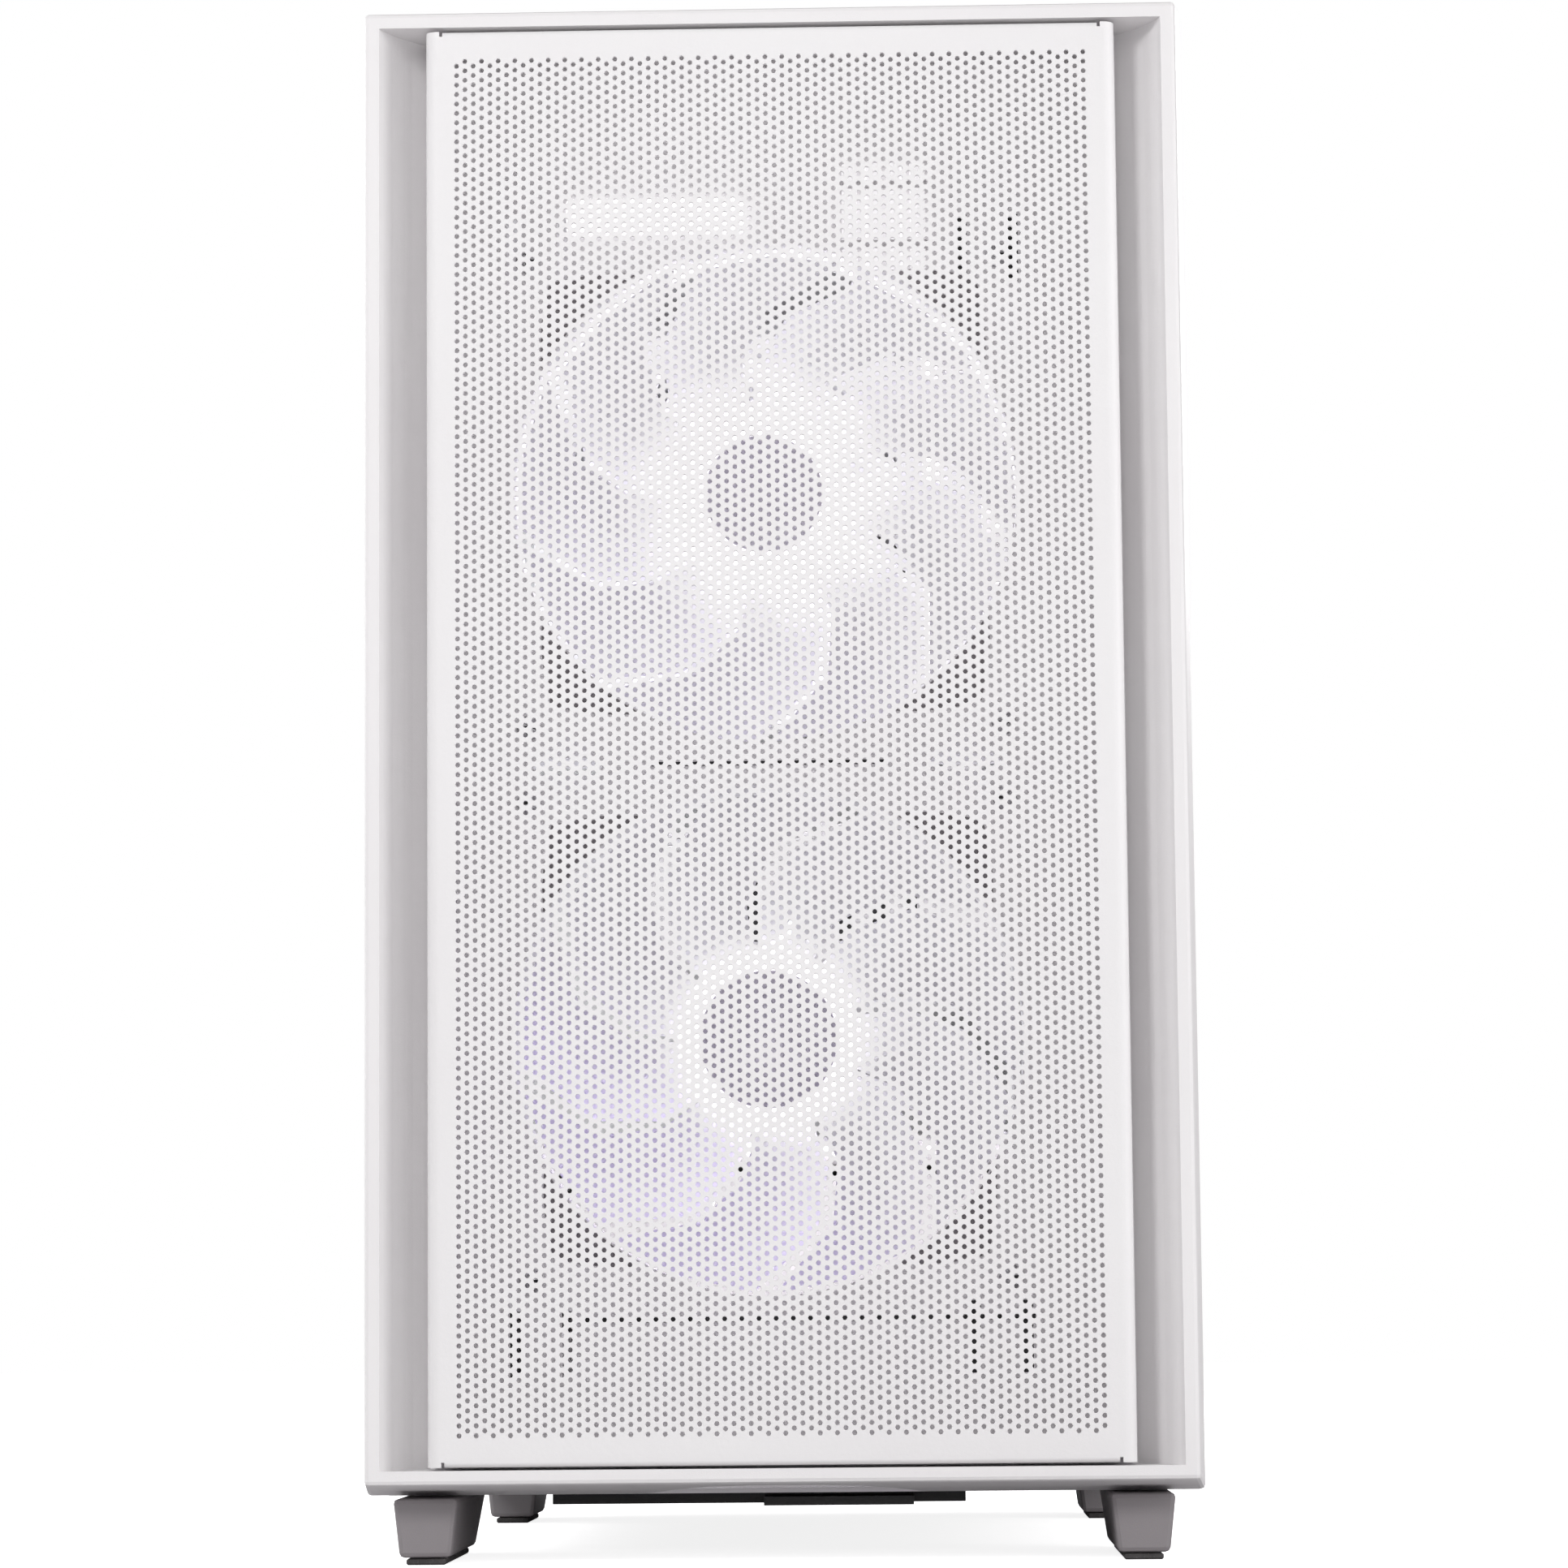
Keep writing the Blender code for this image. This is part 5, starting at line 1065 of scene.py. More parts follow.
def add_rear_parts():
    """Fan guard and screws."""
    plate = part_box("chassis_rear_plate")[1].y
    fan = middle("rear_fan_frame")
    add_wire_guard("rear_fan_guard", (fan.x, plate + 1.4 * MM, fan.z), BACK,
                   [r * MM for r in (12, 22, 32, 42, 52, 60)], 0.7 * MM, 4)
    add_screws("rear_fan_screws", [(fan.x + x * 52.5 * MM, plate, fan.z + z * 52.5 * MM)
                                   for x in (-1, 1) for z in (-1, 1)], BACK, 3.6 * MM, 1.7 * MM)
    add_screws("supply_screws", [(x * MM, plate, z * MM) for x, z in
                                 ((-68.4, 25), (-68.4, 96), (79, 25), (79, 96))], BACK)
    add_screws("slot_screws", [(74 * MM, plate, z * MM) for z in (199, 179, 158.5, 138)], BACK,
               2.8 * MM, 1.6 * MM)


add_rear_parts()


# ---- Inside -----------------------------------------------------------------------------------

BOARD_FACE = (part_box("memory_module_1")[1].x / MM) + 0.3


def on_board(y, z, height, wide, tall):
    """The middle and size of a part that stands on the board."""
    return (BOARD_FACE - height / 2 - 0.02, y, z), (height, wide, tall)


# ---- Motherboard -------------------------------------------------------------------------------

def add_board_parts():
    """Slots, plugs, chips, coils and capacitors on the board."""
    cpu = middle("processor_cooler") / MM
    slot_ys = [middle(node).y / MM for node in ("memory_module_1", "memory_module_2")]
    slot_ys += [slot_ys[-1] + 11, slot_ys[-1] + 22]
    dark = [on_board(y, cpu.z, 8, 7.4, 141) for y in slot_ys[2:]]
    pale = [on_board(y, cpu.z, 8, 7.4, 141) for y in slot_ys[:2]]
    pale += [on_board(y, cpu.z + end * 72, 12, 6.6, 7) for y in slot_ys for end in (-1, 1)]
    dark += [on_board(30, z, 11, 90, 7.2) for z in (178, 138)]
    dark += [on_board(60, 158, 9, 26, 6.4), on_board(-54, 226, 11, 8, 30),
             on_board(-54, 196, 9, 8, 12), on_board(-54, 180, 9, 8, 12),
             on_board(150, 366, 12, 20, 9), on_board(-20, 366, 8, 10, 4),
             on_board(60, 366, 8, 10, 4), on_board(120, 133, 9, 22, 4.5),
             on_board(90, 133, 9, 20, 4.5), on_board(40, 133, 9, 20, 4.5)]
    cluster("board_slots_dark", dark, grey_plastic)
    cluster("board_slots_pale", pale, white_moulding)
    chips = [on_board(y, z, 1.6, wide, tall) for y, z, wide, tall in (
        (128, 168, 14, 14), (136, 148, 7, 7), (112, 226, 10, 12), (60, 228, 9, 9),
        (-30, 226, 8, 10), (-20, 168, 12, 8), (22, 226, 7, 7), (76, 146, 8, 8), (148, 196, 9, 9),
        (-38, 204, 6, 6), (140, 232, 10, 8))]
    cluster("board_chips", chips, black_plastic_and_painted_shade, soft=0.15 * MM)
    coils = [on_board(130, 262 + step * 11.5, 8, 7.5, 7.5) for step in range(8)]
    coils += [on_board(78 + step * 10, 356, 8, 7.5, 7.5) for step in range(6)]
    cluster("board_coils", coils, grey_plastic, soft=0.8 * MM)
    cans = [on_board(122, 262 + step * 11.5, 7, 1, 1)[0] for step in range(8)]
    cans += [on_board(y, z, 7, 1, 1)[0] for y, z in (
        (134, 190), (126, 190), (118, 190), (134, 182), (126, 182), (110, 190), (52, 240),
        (-44, 240), (-44, 248), (-36, 240), (30, 158), (22, 158), (14, 158))]
    outline = [(0, 0), (3.0 * MM, 0), (3.0 * MM, 6 * MM), (2.6 * MM, 6.8 * MM), (0, 6.8 * MM)]
    finish_piece(join([turned(outline, Vector((BOARD_FACE * MM, y * MM, z * MM)), LEFT, 14)
                       for _, y, z in cans]), "board_capacitors", nickel_plate, "case")
    small = [on_board(-50 + 5.3 * column, 160 + 3.1 * (column * 7 % 11) + 46 * (column % 2), 0.7,
                      1.6, 0.9) for column in range(40)]
    small += [on_board(88 + 2.8 * step, 238 + (step * 5 % 3) * 2, 0.7, 0.9, 1.6)
              for step in range(14)]
    cluster("board_small_parts", small, grey_plastic, soft=0.0)
    cell = turned([(0, 0), (10 * MM, 0), (10 * MM, 2.6 * MM), (9.4 * MM, 3.2 * MM), (0, 3.2 * MM)],
                  Vector((BOARD_FACE, 96, 212)) * MM, LEFT, 36)
    finish_piece(cell, "board_clock_cell", steel_plain, "case")
    covers = [on_board(44, 218.5, 4, 80, 20), on_board(52, 148, 3.4, 60, 10)]
    cluster("board_storage_covers", covers, white_chassis_paint, soft=0.8 * MM)
    pins = [on_board(-56 + 2.54 * step, 131.5 + 2.54 * row, 8, 0.64, 0.64)
            for step in range(9) for row in (0, 1)]
    cluster("board_header_pins", pins, gold_plate, soft=0.0)


def add_memory_trim():
    """A spreader on each side of a module and a pale light bar along its edge."""
    for node in ("memory_module_1", "memory_module_2"):
        low, high = (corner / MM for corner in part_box(node))
        centre = (low + high) / 2
        plates = [((low.x + 17, centre.y + side * 3.1, centre.z), (27, 0.5, 124))
                  for side in (-1, 1)]
        ribs = [((low.x + 17, centre.y + side * 3.4, centre.z + step * 18), (25, 0.4, 1.2))
                for side in (-1, 1) for step in (-3, -2, -1, 1, 2, 3)]
        cluster(node + "_spreader", plates, fin_aluminium)
        cluster(node + "_ribs", ribs, white_chassis_paint, soft=0.1 * MM)
        cluster(node + "_light_bar", [((low.x - 0.2, centre.y, centre.z), (4.5, 5.0, 127))],
                light_ring_plastic, soft=0.8 * MM)


# ---- Processor cooler --------------------------------------------------------------------------

def fin_plate(low_x, thickness, low, high, corner):
    """One fin: a thin plate in y and z with its corners cut round."""
    bm = block((low_x, low.y, low.z), (low_x + thickness, high.y, high.z))
    soften(bm, [e for e in bm.edges if abs(e.verts[0].co.x - e.verts[1].co.x) > thickness / 2],
           corner, 3)
    return bm


def add_processor_cooler():
    """A tower cooler: base, four bent pipes, forty four fins and a cover plate."""
    low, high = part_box("processor_cooler")
    centre = (low + high) / 2
    foot, fins_end = high.x, 36 * MM
    pitch = (fins_end - low.x - 2.4 * MM) / 44
    fins = [fin_plate(low.x + 2.4 * MM + step * pitch, 0.45 * MM, low, high, 5 * MM)
            for step in range(44)]
    stack = finish_piece(join(fins), "cooler_fins", fin_aluminium, "case")
    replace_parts(stack, "processor_cooler")
    cover = fin_plate(low.x, 2.0 * MM, low, high, 5 * MM)
    soften(cover, sharp_edges(cover), 0.5 * MM, 2)
    finish_piece(cover, "cooler_cover", white_panel_paint, "case")
    accents = [(((low.x - 0.1 * MM) / MM, centre.y / MM, centre.z / MM + side * 24), (0.4, 40, 1.2))
               for side in (-1, 1)]
    cluster("cooler_cover_lines", accents, steel_plain, soft=0.1 * MM)
    pipes, tips = [], []
    for number in range(4):
        z = centre.z + (number - 1.5) * 10 * MM
        for side in (-1, 1):
            y = centre.y + side * 14 * MM
            bend = centre.y + side * 4 * MM
            pipes.append(tube([(foot - 6 * MM, centre.y, z), (foot - 7 * MM, bend, z),
                               (foot - 22 * MM, y, z), (foot - 34 * MM, y, z),
                               (low.x + 4 * MM, y, z), (low.x + 0.5 * MM, y, z)], 3 * MM, 12, 3))
            tips.append(turned([(0, 0), (3 * MM, 0), (2.7 * MM, 1.4 * MM), (1.2 * MM, 2.6 * MM),
                                (0, 2.8 * MM)], (low.x - 0.1 * MM, y, z), LEFT, 20))
    finish_piece(join(pipes + tips), "cooler_pipes", nickel_plate, "case")
    block_low = (foot - 14 * MM, centre.y - 22 * MM, centre.z - 22 * MM)
    finish_piece(block(block_low, (foot, centre.y + 22 * MM, centre.z + 22 * MM), 1 * MM, 2),
                 "cooler_base", nickel_plate, "case")
    bars = [((foot / MM - 5, centre.y / MM + side * 31, centre.z / MM), (3, 10, 74))
            for side in (-1, 1)]
    cluster("cooler_mount_bars", bars, steel_plain, soft=0.6 * MM)
    clips = [tube([(x * MM, low.y - 26 * MM, z), (x * MM, low.y - 4 * MM, z),
                   (x * MM, high.y - 8 * MM, z)], 0.8 * MM, 8, 1)
             for x in (-60, 22) for z in (low.z - 0.6 * MM, high.z + 0.6 * MM)]
    finish_piece(join(clips), "cooler_fan_clips", steel_plain, "case")


# ---- Graphics card -----------------------------------------------------------------------------

def add_card_parts():
    """Edge trim, back plate, and the power connector with its wires."""
    low, high = (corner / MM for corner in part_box("graphics_card_cooler"))
    board_low, board_high = (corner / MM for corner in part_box("graphics_card_board"))
    centre = (low + high) / 2
    cluster("card_light_bar", [((low.x - 0.1, centre.y + 38, high.z - 10), (1.2, 96, 4.5))],
            light_ring_plastic, soft=0.5 * MM)
    # The edge vents are thin black inlays: painted shade in the vent openings.
    vents = [((low.x + 0.1, centre.y - 96 + step * 9, low.z + 13), (0.5, 4.2, 13))
             for step in range(8)]
    vents += [((low.x + 22 + step * 9, low.y + 0.1, centre.z), (4.2, 0.5, 20)) for step in range(7)]
    cluster("card_edge_vents", vents, black_plastic_and_painted_shade, soft=0.1 * MM)
    ribs = [((low.x - 0.1, centre.y + 12 + step * 16, low.z + 10), (0.8, 9, 1.6))
            for step in range(6)]
    cluster("card_edge_ribs", ribs, white_moulding, soft=0.3 * MM)
    plate = [(((board_low.x + board_high.x) / 2 - 5, (board_low.y + board_high.y) / 2,
               board_high.z + 1.3), (board_high.x - board_low.x - 12, board_high.y - board_low.y
                                     - 6, 1.6))]
    cluster("card_back_plate", plate, white_chassis_paint, soft=0.5 * MM)
    # The back plate's vents are thin black inlays: painted shade in the openings.
    painted_slot_shades = [((8, board_low.y + 26 + step * 6.5, board_high.z + 2.14), (46, 2.6, 0.12))
                 for step in range(8)]
    cluster("card_back_vents", painted_slot_shades, black_plastic_and_painted_shade, soft=0.0)
    cluster("card_back_lines", [((28 - step * 5, 96, board_high.z + 2.16), (1.2, 92, 0.14))
                                for step in range(4)], steel_plain, soft=0.0)
    add_screws("card_back_screws", [(x * MM, y * MM, (board_high.z + 2.1) * MM)
                                    for x in (-28, 52) for y in (-34, 72, 176)], UP,
               1.8 * MM, 0.8 * MM)
    cluster("card_power_socket", [((board_low.x + 3, -8, board_low.z - 6), (13, 20, 9))],
            black_plastic_and_painted_shade, soft=0.4 * MM)
    cluster("card_power_plug", [((board_low.x - 8, -8, board_low.z - 6), (11, 18, 8))],
            white_moulding, soft=0.6 * MM)
    wires = []
    for number in range(8):
        y, z = -14.3 + number % 4 * 4.2, board_low.z - 8 + number // 4 * 4
        step = (number - 3.5) * 1.7
        route = [(board_low.x - 12, y, z), (board_low.x - 20, y - 1, z),
                 (board_low.x - 24, y - 16 - step * 0.4, z + 1), (-30, -50 - step * 0.3, z + 2),
                 (10, -62, z + 8 + step), (52, -70, z + 30 + step), (78, -76, 240 + step),
                 (92, -77, 238 + step), (97, -76 + step * 0.4, 214), (98, -76 + step * 0.4, 190)]
        wires.append(tube([Vector(p) * MM for p in route], 0.9 * MM, 6, 2))
    finish_piece(join(wires), "card_power_wires", cable_skin, "case")
    combs = [((-28.5, -50.5, board_low.z - 4), (3, 7, 8)),
             ((10, -62, board_low.z + 2), (2.6, 4, 17))]
    cluster("card_power_combs", combs, white_moulding, soft=0.5 * MM)


# ---- Cables ------------------------------------------------------------------------------------

def add_cables():
    """The board's sleeved wires from the supply, and the top ports' lead."""
    spine = [(62, 47.5, 62), (62, 36.5, 62), (66, 22, 62), (84, 8, 64), (95, 1, 78), (98, -10, 110),
             (98, -76.5, 180), (97, -76.5, 240), (90, -76.5, 262), (74, -75, 269),
             (62, -66, 270), (58, -54, 270), (62, -46.5, 270), (66, -46.5, 270)]
    fan_out = [(0, 0.6, 0.8)] * 2 + [(0.1, 0.5, 0.5)] * 4 + [(0.1, 0.9, 0.1), (0.1, 0.9, 0.5),
               (0, 0.2, 2.4), (0, 0, 3.4)] + [(0, 0, 4.1)] * 4
    layer = [(1, 0, 0)] * 9 + [(0.6, 0.8, 0)] * 2 + [(1, 0.2, 0), (0.5, 0.9, 0), (0, 1.0, 0)]
    wires = []
    for number in range(24):
        column, row = number % 12 - 5.5, number // 12 * 2 - 1
        wires.append(tube([(Vector(p) + Vector(a) * column + Vector(b) * row * 1.1) * MM
                           for p, a, b in zip(spine, fan_out, layer)], 0.95 * MM, 6, 2))
    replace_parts(finish_piece(join(wires), "board_power_wires", cable_skin, "case"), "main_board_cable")
    cluster("board_power_plug", [((67.5, -46.5, 270), (10, 9, 52))], white_moulding,
            soft=0.6 * MM)
    cluster("board_power_socket", [((75, -46.5, 270), (5.4, 10, 53))], grey_plastic)
    cluster("board_power_combs", [((68, -71, 269.6), (7, 7, 48)), ((58.5, -58, 270), (6, 3, 53))],
            white_moulding, soft=0.6 * MM)
    spine = [(24, 0, 0), (24, 0, -12), (30, 10, -25), (52, 22, -29), (74, 26, -43), (76, 62, -66),
             (79, 66, -84)]
    low, high = (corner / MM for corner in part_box("front_io_cable"))
    start = Vector((0, low.y + 2.6, high.z))
    lead = [(start + Vector(p)) * MM for p in spine]
    lead[-2].y = lead[-1].y = (high.y - 2.6) * MM
    strands = [tube([p + Vector((a, b, 0)) * MM for p in lead], 1.15 * MM, 8, 2)
               for a, b in ((-1.2, -0.7), (1.2, -0.7), (0, 1.3))]
    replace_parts(finish_piece(join(strands), "top_ports_lead", cable_skin, "case"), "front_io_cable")


def add_inside_trim():
    """Grommet, glass border, vents in the shroud's top, and slits and a line on the shroud's side."""
    gate = Vector((84.4, -76.5, 274)) * MM
    finish_piece(set_down(window(90 * MM, 28 * MM, 4 * MM, 1.8 * MM, 0.6 * MM), gate, LEFT),
                 "grommet_frame", grip_rubber, "case")
    cluster("grommet_flaps", [((84.6, -76.5 + side * 5.2, 274), (0.9, 9.8, 82))
                              for side in (-1, 1)], grip_rubber)
    low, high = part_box("glass_side_panel")
    border = window(high.z - low.z - 1 * MM, high.y - low.y - 1 * MM, 13 * MM, 0.12 * MM, 0)
    finish_piece(set_down(border, (high.x + 0.14 * MM, (low.y + high.y) / 2, (low.z + high.z) / 2),
                          LEFT), "glass_border", white_chassis_paint, "glass_panel")
    low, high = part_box("power_supply_shroud")
    perforated_strips("shroud_vent", white_chassis_paint, "case", -80 * MM,
                      -110 * MM, 16, 26, 5 * MM, 4.33 * MM, 1.7 * MM, 0.1 * MM, 0.5 * MM,
                      -(high.z + 0.6 * MM), strips=1, turn=LAID_FLAT)
    cluster("shroud_vent_shade", [((-10.5, -44, high.z / MM + 0.05), (136, 129, 0.08))],
            black_plastic_and_painted_shade, soft=0.0)
    # The side slits are thin black inlays: painted shade in the openings.
    slits = [((low.x / MM - 0.02, -112 + step * 8, 90), (0.1, 3, 18)) for step in range(9)]
    cluster("shroud_side_slits", slits, black_plastic_and_painted_shade, soft=0.0)
    cluster("shroud_side_line", [((low.x / MM - 0.05, 30, 99), (0.3, 250, 0.8))], steel_plain,
            soft=0.0)


def add_roof_vents():
    """Long slots in the roof, under the top filter, drawn as thin black inlays: painted shade for the
    dark openings.
    """
    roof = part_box("top_dust_filter")[0].z / MM - 0.24
    painted_slot_shades = [((-70 + 7 * step, y, roof), (3.2, 36, 0.1)) for step in range(21)
                 for y in (-88, -44, 0, 44, 88)]
    cluster("roof_vents", painted_slot_shades, black_plastic_and_painted_shade, soft=0.0)


add_board_parts()
add_roof_vents()
add_memory_trim()
add_processor_cooler()
add_card_parts()
add_cables()
add_inside_trim()


# ---- Sockets and vents at the back -------------------------------------------------------------

def rear_sockets(name, places, size, face, proud=1.0 * MM, tongue=None):
    """Metal shells on the back, each with a tongue across its mouth; the dark mouths are thin black
    inlays of painted shade.
    """
    width, height = size
    shells, mouths, tongues = [], [], []
    for x, z in places:
        spot = Vector((x * MM, face, z * MM))
        shells.append(set_down(window(width * MM, height * MM, 0.5 * MM, proud, 0.1 * MM), spot,
                               BACK))
        mouths.append(centred((x, face / MM + 0.05, z), (width - 0.8, 0.1, height - 0.8), 0))
        if tongue:
            tongues.append(centred((x, (face + proud / 2) / MM, z + height * 0.12),
                                   (width * 0.72, proud / MM - 0.1, height * 0.24), 0))
    finish_piece(join(shells), name + "_shells", nickel_plate, "case")
    finish_piece(join(mouths), name + "_mouths", black_plastic_and_painted_shade, "case")
    if tongues:
        finish_piece(join(tongues), name + "_tongues", tongue, "case")


def add_rear_sockets():
    """The board's ports, the card's display ports, slot vents, and the supply's vent and pins."""
    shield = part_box("rear_io_shield")[1].y
    rear_sockets("rear_display", [(49, 352), (68, 352)], (16, 5.8), shield, tongue=black_plastic_and_painted_shade)
    rear_sockets("rear_usb", [(x, z) for x in (49, 68) for z in (334, 326, 308, 300)],
                 (13.6, 6.0), shield, tongue=port_blue)
    rear_sockets("rear_usb_c", [(49, 284), (68, 284)], (9.4, 3.8), shield, tongue=grey_plastic)
    rear_sockets("rear_network", [(58.5, 265)], (16.4, 14), shield, tongue=gold_plate)
    jacks, holes = [], []
    for x in (47, 58.5, 70):
        for z in (231, 218):
            spot = Vector((x * MM, shield, z * MM))
            jacks.append(ring(1.8 * MM, 3.6 * MM, 0, 0.9 * MM, spot, BACK, 28, 0.15 * MM))
            # The jacks' holes are thin black discs: painted shade in the openings.
            holes.append(turned([(0, 0), (1.8 * MM, 0), (1.8 * MM, 0.1 * MM), (0, 0.1 * MM)],
                                spot, BACK, 20))
    finish_piece(join(jacks), "rear_audio_jacks", grey_plastic, "case")
    finish_piece(join(holes), "rear_audio_mouths", black_plastic_and_painted_shade, "case")
    stubs = []
    for x in (50, 67):
        spot = Vector((x * MM, shield, 247 * MM))
        stubs += [turned([(0, 0), (3.1 * MM, 0), (3.1 * MM, 3.2 * MM), (2.7 * MM, 3.6 * MM),
                          (1.9 * MM, 3.6 * MM), (1.9 * MM, 1.0 * MM), (0, 1.0 * MM)], spot, BACK,
                         28), ring(3.4 * MM, 4.4 * MM, 0, 1.2 * MM, spot, BACK, 6)]
    finish_piece(join(stubs), "rear_aerial_stubs", gold_plate, "case")
    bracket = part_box("graphics_card_bracket")[1].y
    rear_sockets("card_display", [(x, 193.2) for x in (58, 37, 16, -5)], (16, 5.6), bracket,
                 0.9 * MM,
                 black_plastic_and_painted_shade)
    face = bracket / MM + 0.04
    # The slot covers' vents are thin black inlays: painted shade in the openings.
    vents = [((66 - 9.2 * step, face, z), (5.2, 0.08, 10.5)) for step in range(10)
             for z in (172.9, 152.6, 132.2)]
    cluster("slot_vents", vents, black_plastic_and_painted_shade, soft=0.0)
    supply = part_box("power_supply")[1].y
    perforated_strips("supply_vent", white_chassis_paint, "case", -2 * MM, 24 * MM,
                      8, 16, 4.6 * MM, 3.984 * MM, 1.75 * MM, 0.12 * MM, 0.7 * MM,
                      -(supply + 0.9 * MM), strips=1, turn=Matrix.Rotation(math.pi, 4, "Z"))
    cluster("supply_vent_shade", [((-29.9, supply / MM + 0.06, 62), (62.5, 0.1, 74.5))],
            black_plastic_and_painted_shade, soft=0.0)
    inlet = middle("power_inlet") / MM
    pins = [((inlet.x + x, supply / MM - 6, inlet.z + z), (2.0, 8, 4.6))
            for x, z in ((-7, -2), (7, -2), (0, 2.4))]
    cluster("power_inlet_pins", pins, nickel_plate, soft=0.3 * MM)


add_rear_sockets()


# ---- Finishes on the frame's own nodes --------------------------------------------------------

NODE_FINISH = {
    white_moulding: ["front_bezel", "front_io_housing", "power_button", "reset_button",
                     "graphics_card_cooler"],
    foot_moulding_with_painted_shade: ["front_left_foot", "front_right_foot", "rear_left_foot", "rear_right_foot"],
    pad_rubber: ["front_left_foot_pad", "front_right_foot_pad", "rear_left_foot_pad",
                 "rear_right_foot_pad"],
    front_plate_painted_glow: ["chassis_front_plate"],
    white_chassis_paint: ["chassis_bottom_plate", "chassis_top_plate",
                          "chassis_rear_plate", "motherboard_tray", "power_supply_shroud",
                          "drive_cage", "power_supply", "slot_cover_1", "slot_cover_2",
                          "steel_side_panel", "glass_edge_strip", "memory_module_1",
                          "memory_module_2", "top_dust_filter"],
    fan_frame_painted_glow: ["front_fan_upper_frame", "front_fan_lower_frame", "rear_fan_frame",
                        "processor_fan_frame"],
    glowing_blade_plastic: ["rear_fan_rotor", "processor_fan_rotor", "graphics_card_rotor_1",
                        "graphics_card_rotor_2"],
    upper_blade_glow: ["front_fan_upper_rotor"],
    lower_blade_glow: ["front_fan_lower_rotor"],
    black_plastic_and_painted_shade: ["power_supply_rotor", "power_inlet", "power_rocker_switch", "audio_jack",
                    "bottom_dust_filter"],
    steel_plain: ["rear_io_shield", "graphics_card_bracket", "usb_port_1", "usb_port_2",
                  "usb_c_port", "glass_thumbscrew_lower", "glass_thumbscrew_upper",
                  "steel_thumbscrew_lower", "steel_thumbscrew_upper"],
    fin_aluminium: ["processor_cooler"],
    drive_aluminium: ["hard_drive"],
    board_mask: ["motherboard", "graphics_card_board"],
    cable_skin: ["front_io_cable", "main_board_cable"],
    clear_glass: ["glass_side_panel"],
}
for paint, names in NODE_FINISH.items():
    for name in names:
        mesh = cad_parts[name].data
        mesh.materials.clear()
        mesh.materials.append(paint)


# ---- Floor, light and camera ------------------------------------------------------------------

ROOM_LIGHT, FLOOR_GLOW, FLOOR_REACH = 0.22, 0.85, 6
FLOOR_DULL = (0.55, 0.54, 0.55, 1)
CAMERA_PLACE = (0.0346, -1.4418, 0.05926)
CAMERA_LENS, SENSOR_WIDTH = 113.04, 36.0
WHITE = (1, 1, 1, 1)


def make_floor():
    bm = bmesh.new()
    bmesh.ops.create_grid(bm, x_segments=1, y_segments=1, size=FLOOR_REACH)
    mesh = bpy.data.meshes.new("studio_floor")
    bm.to_mesh(mesh)
    bm.free()
    paint = bpy.data.materials.new("studio floor")
    paint.use_nodes = True
    tree = paint.node_tree
    surface = tree.nodes["Principled BSDF"]
    tone = ramp(tree, noise(tree, object_place(tree), 3.0), 0.3, 0.7, 0.0, 1.0)
    tree.links.new(blend(tree, tone, (0.93, 0.93, 0.93), (0.91, 0.91, 0.91)),
                   surface.inputs["Base Color"])
    surface.inputs["Roughness"].default_value = 0.8
    light = tree.nodes.new("ShaderNodeLightPath")
    dull = tree.nodes.new("ShaderNodeBsdfDiffuse")
    dull.inputs["Color"].default_value = FLOOR_DULL
    choice = tree.nodes.new("ShaderNodeMixShader")
    surface.inputs["Emission Color"].default_value = WHITE
    surface.inputs["Emission Strength"].default_value = FLOOR_GLOW
    tree.links.new(light.outputs["Is Camera Ray"], choice.inputs["Fac"])
    tree.links.new(dull.outputs[0], choice.inputs[1])
    tree.links.new(surface.outputs[0], choice.inputs[2])
    tree.links.new(choice.outputs[0], tree.nodes["Material Output"].inputs["Surface"])
    mesh.materials.append(paint)
    floor = bpy.data.objects.new("studio_floor", mesh)
    bpy.context.scene.collection.objects.link(floor)


def make_light(name, place, aim, size, power):
    """A soft square light that faces a point."""
    lamp = bpy.data.lights.new(name, "AREA")
    lamp.shape, lamp.size, lamp.energy = "SQUARE", size, power
    light = bpy.data.objects.new(name, lamp)
    light.location = place
    light.rotation_euler = (Vector(place) - Vector(aim)).to_track_quat("Z", "Y").to_euler()
    bpy.context.scene.collection.objects.link(light)


def make_glow(name, place, radius, power):
    """A soft round light inside the case."""
    lamp = bpy.data.lights.new(name, "POINT")
    lamp.shadow_soft_size, lamp.energy, lamp.color = radius, power, (1.0, 0.97, 1.0)
    light = bpy.data.objects.new(name, lamp)
    light.location = place
    light.visible_camera = False
    bpy.context.scene.collection.objects.link(light)


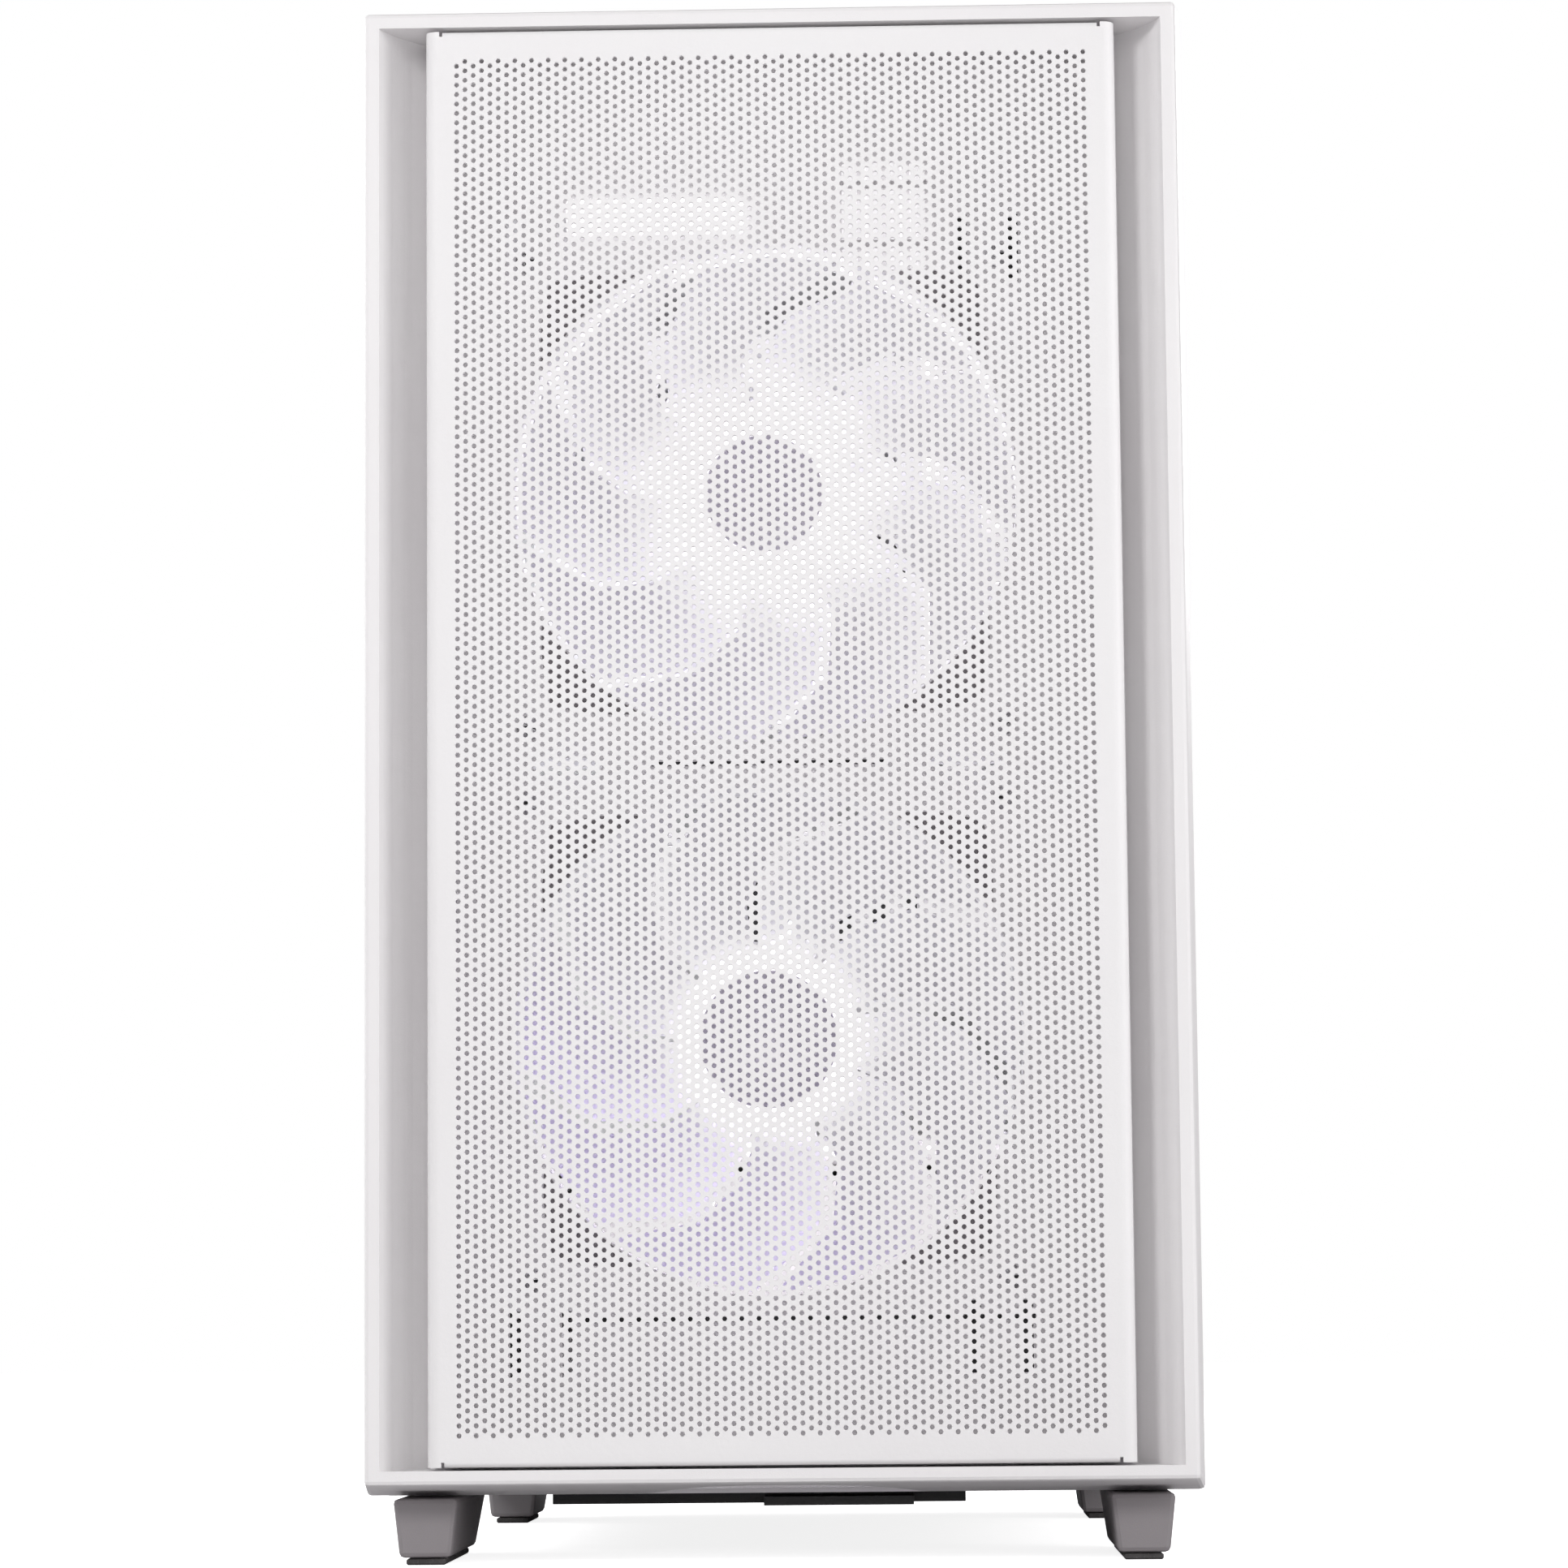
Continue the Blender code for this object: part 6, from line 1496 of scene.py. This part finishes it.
def make_world():
    """A pale room: plain white where the camera sees it, softer as a light."""
    world = bpy.data.worlds.new("pale room")
    bpy.context.scene.world = world
    world.use_nodes = True
    tree = world.node_tree
    room = tree.nodes["Background"]
    room.inputs["Color"].default_value = (1.0, 0.985, 0.99, 1)
    room.inputs["Strength"].default_value = ROOM_LIGHT
    seen = tree.nodes.new("ShaderNodeBackground")
    seen.inputs["Color"].default_value = WHITE
    choice = tree.nodes.new("ShaderNodeMixShader")
    tree.links.new(tree.nodes.new("ShaderNodeLightPath").outputs["Is Camera Ray"],
                   choice.inputs["Fac"])
    tree.links.new(room.outputs[0], choice.inputs[1])
    tree.links.new(seen.outputs[0], choice.inputs[2])
    tree.links.new(choice.outputs[0], tree.nodes["World Output"].inputs["Surface"])


def make_camera():
    """The camera's place, and the way that its frame's right, down and forward point."""
    right = Vector((0.99959331, 0.02702802, -0.00909378))
    down = Vector((-0.01200075, 0.10941801, -0.99392338))
    ahead = Vector((-0.02586876, 0.99362829, 0.10969787))
    lens = bpy.data.cameras.new("camera")
    lens.sensor_width, lens.lens = SENSOR_WIDTH, CAMERA_LENS
    lens.clip_start, lens.clip_end = 0.05, 60.0
    camera = bpy.data.objects.new("camera", lens)
    turn = Matrix((right, -down, -ahead)).transposed().to_4x4()
    camera.matrix_world = Matrix.Translation(CAMERA_PLACE) @ turn
    bpy.context.scene.collection.objects.link(camera)
    bpy.context.scene.camera = camera


SOFT_LIGHTS = (
    # name, place, aim, size in metres, power in watts
    ("key light", (-0.85, -1.75, 0.95), (0, -0.195, 0.3), 0.38, 11.0),
    ("left side light", (-1.8, -1.15, 0.7), (0, -0.15, 0.25), 0.8, 7.2),
    ("right fill", (1.3, -1.9, 0.75), (0, -0.195, 0.25), 1.0, 7.8),
    ("right side light", (1.9, -0.85, 0.6), (0, -0.15, 0.25), 0.9, 16.0),
    ("low front fill", (0.1, -2.0, 0.12), (0, -0.195, 0.36), 0.6, 5.5),
    ("glass side light", (-1.9, 0.5, 0.9), (0, 0.05, 0.22), 0.8, 20.0),
    ("back light", (0.7, 2.1, 1.0), (0, 0.19, 0.22), 0.8, 24.0),
)
INSIDE_GLOWS = (
    # name, place, radius in metres, power in watts
    ("upper inside glow", (0.0, -0.07, 0.29), 0.05, 0.28),
    ("lower inside glow", (0.0, -0.06, 0.085), 0.02, 0.18),
)
make_floor()
make_world()
for light in SOFT_LIGHTS:
    make_light(*light)
for light in INSIDE_GLOWS:
    make_glow(*light)
make_camera()
bpy.context.scene.view_settings.view_transform = "Standard"

bpy.context.view_layer.update()
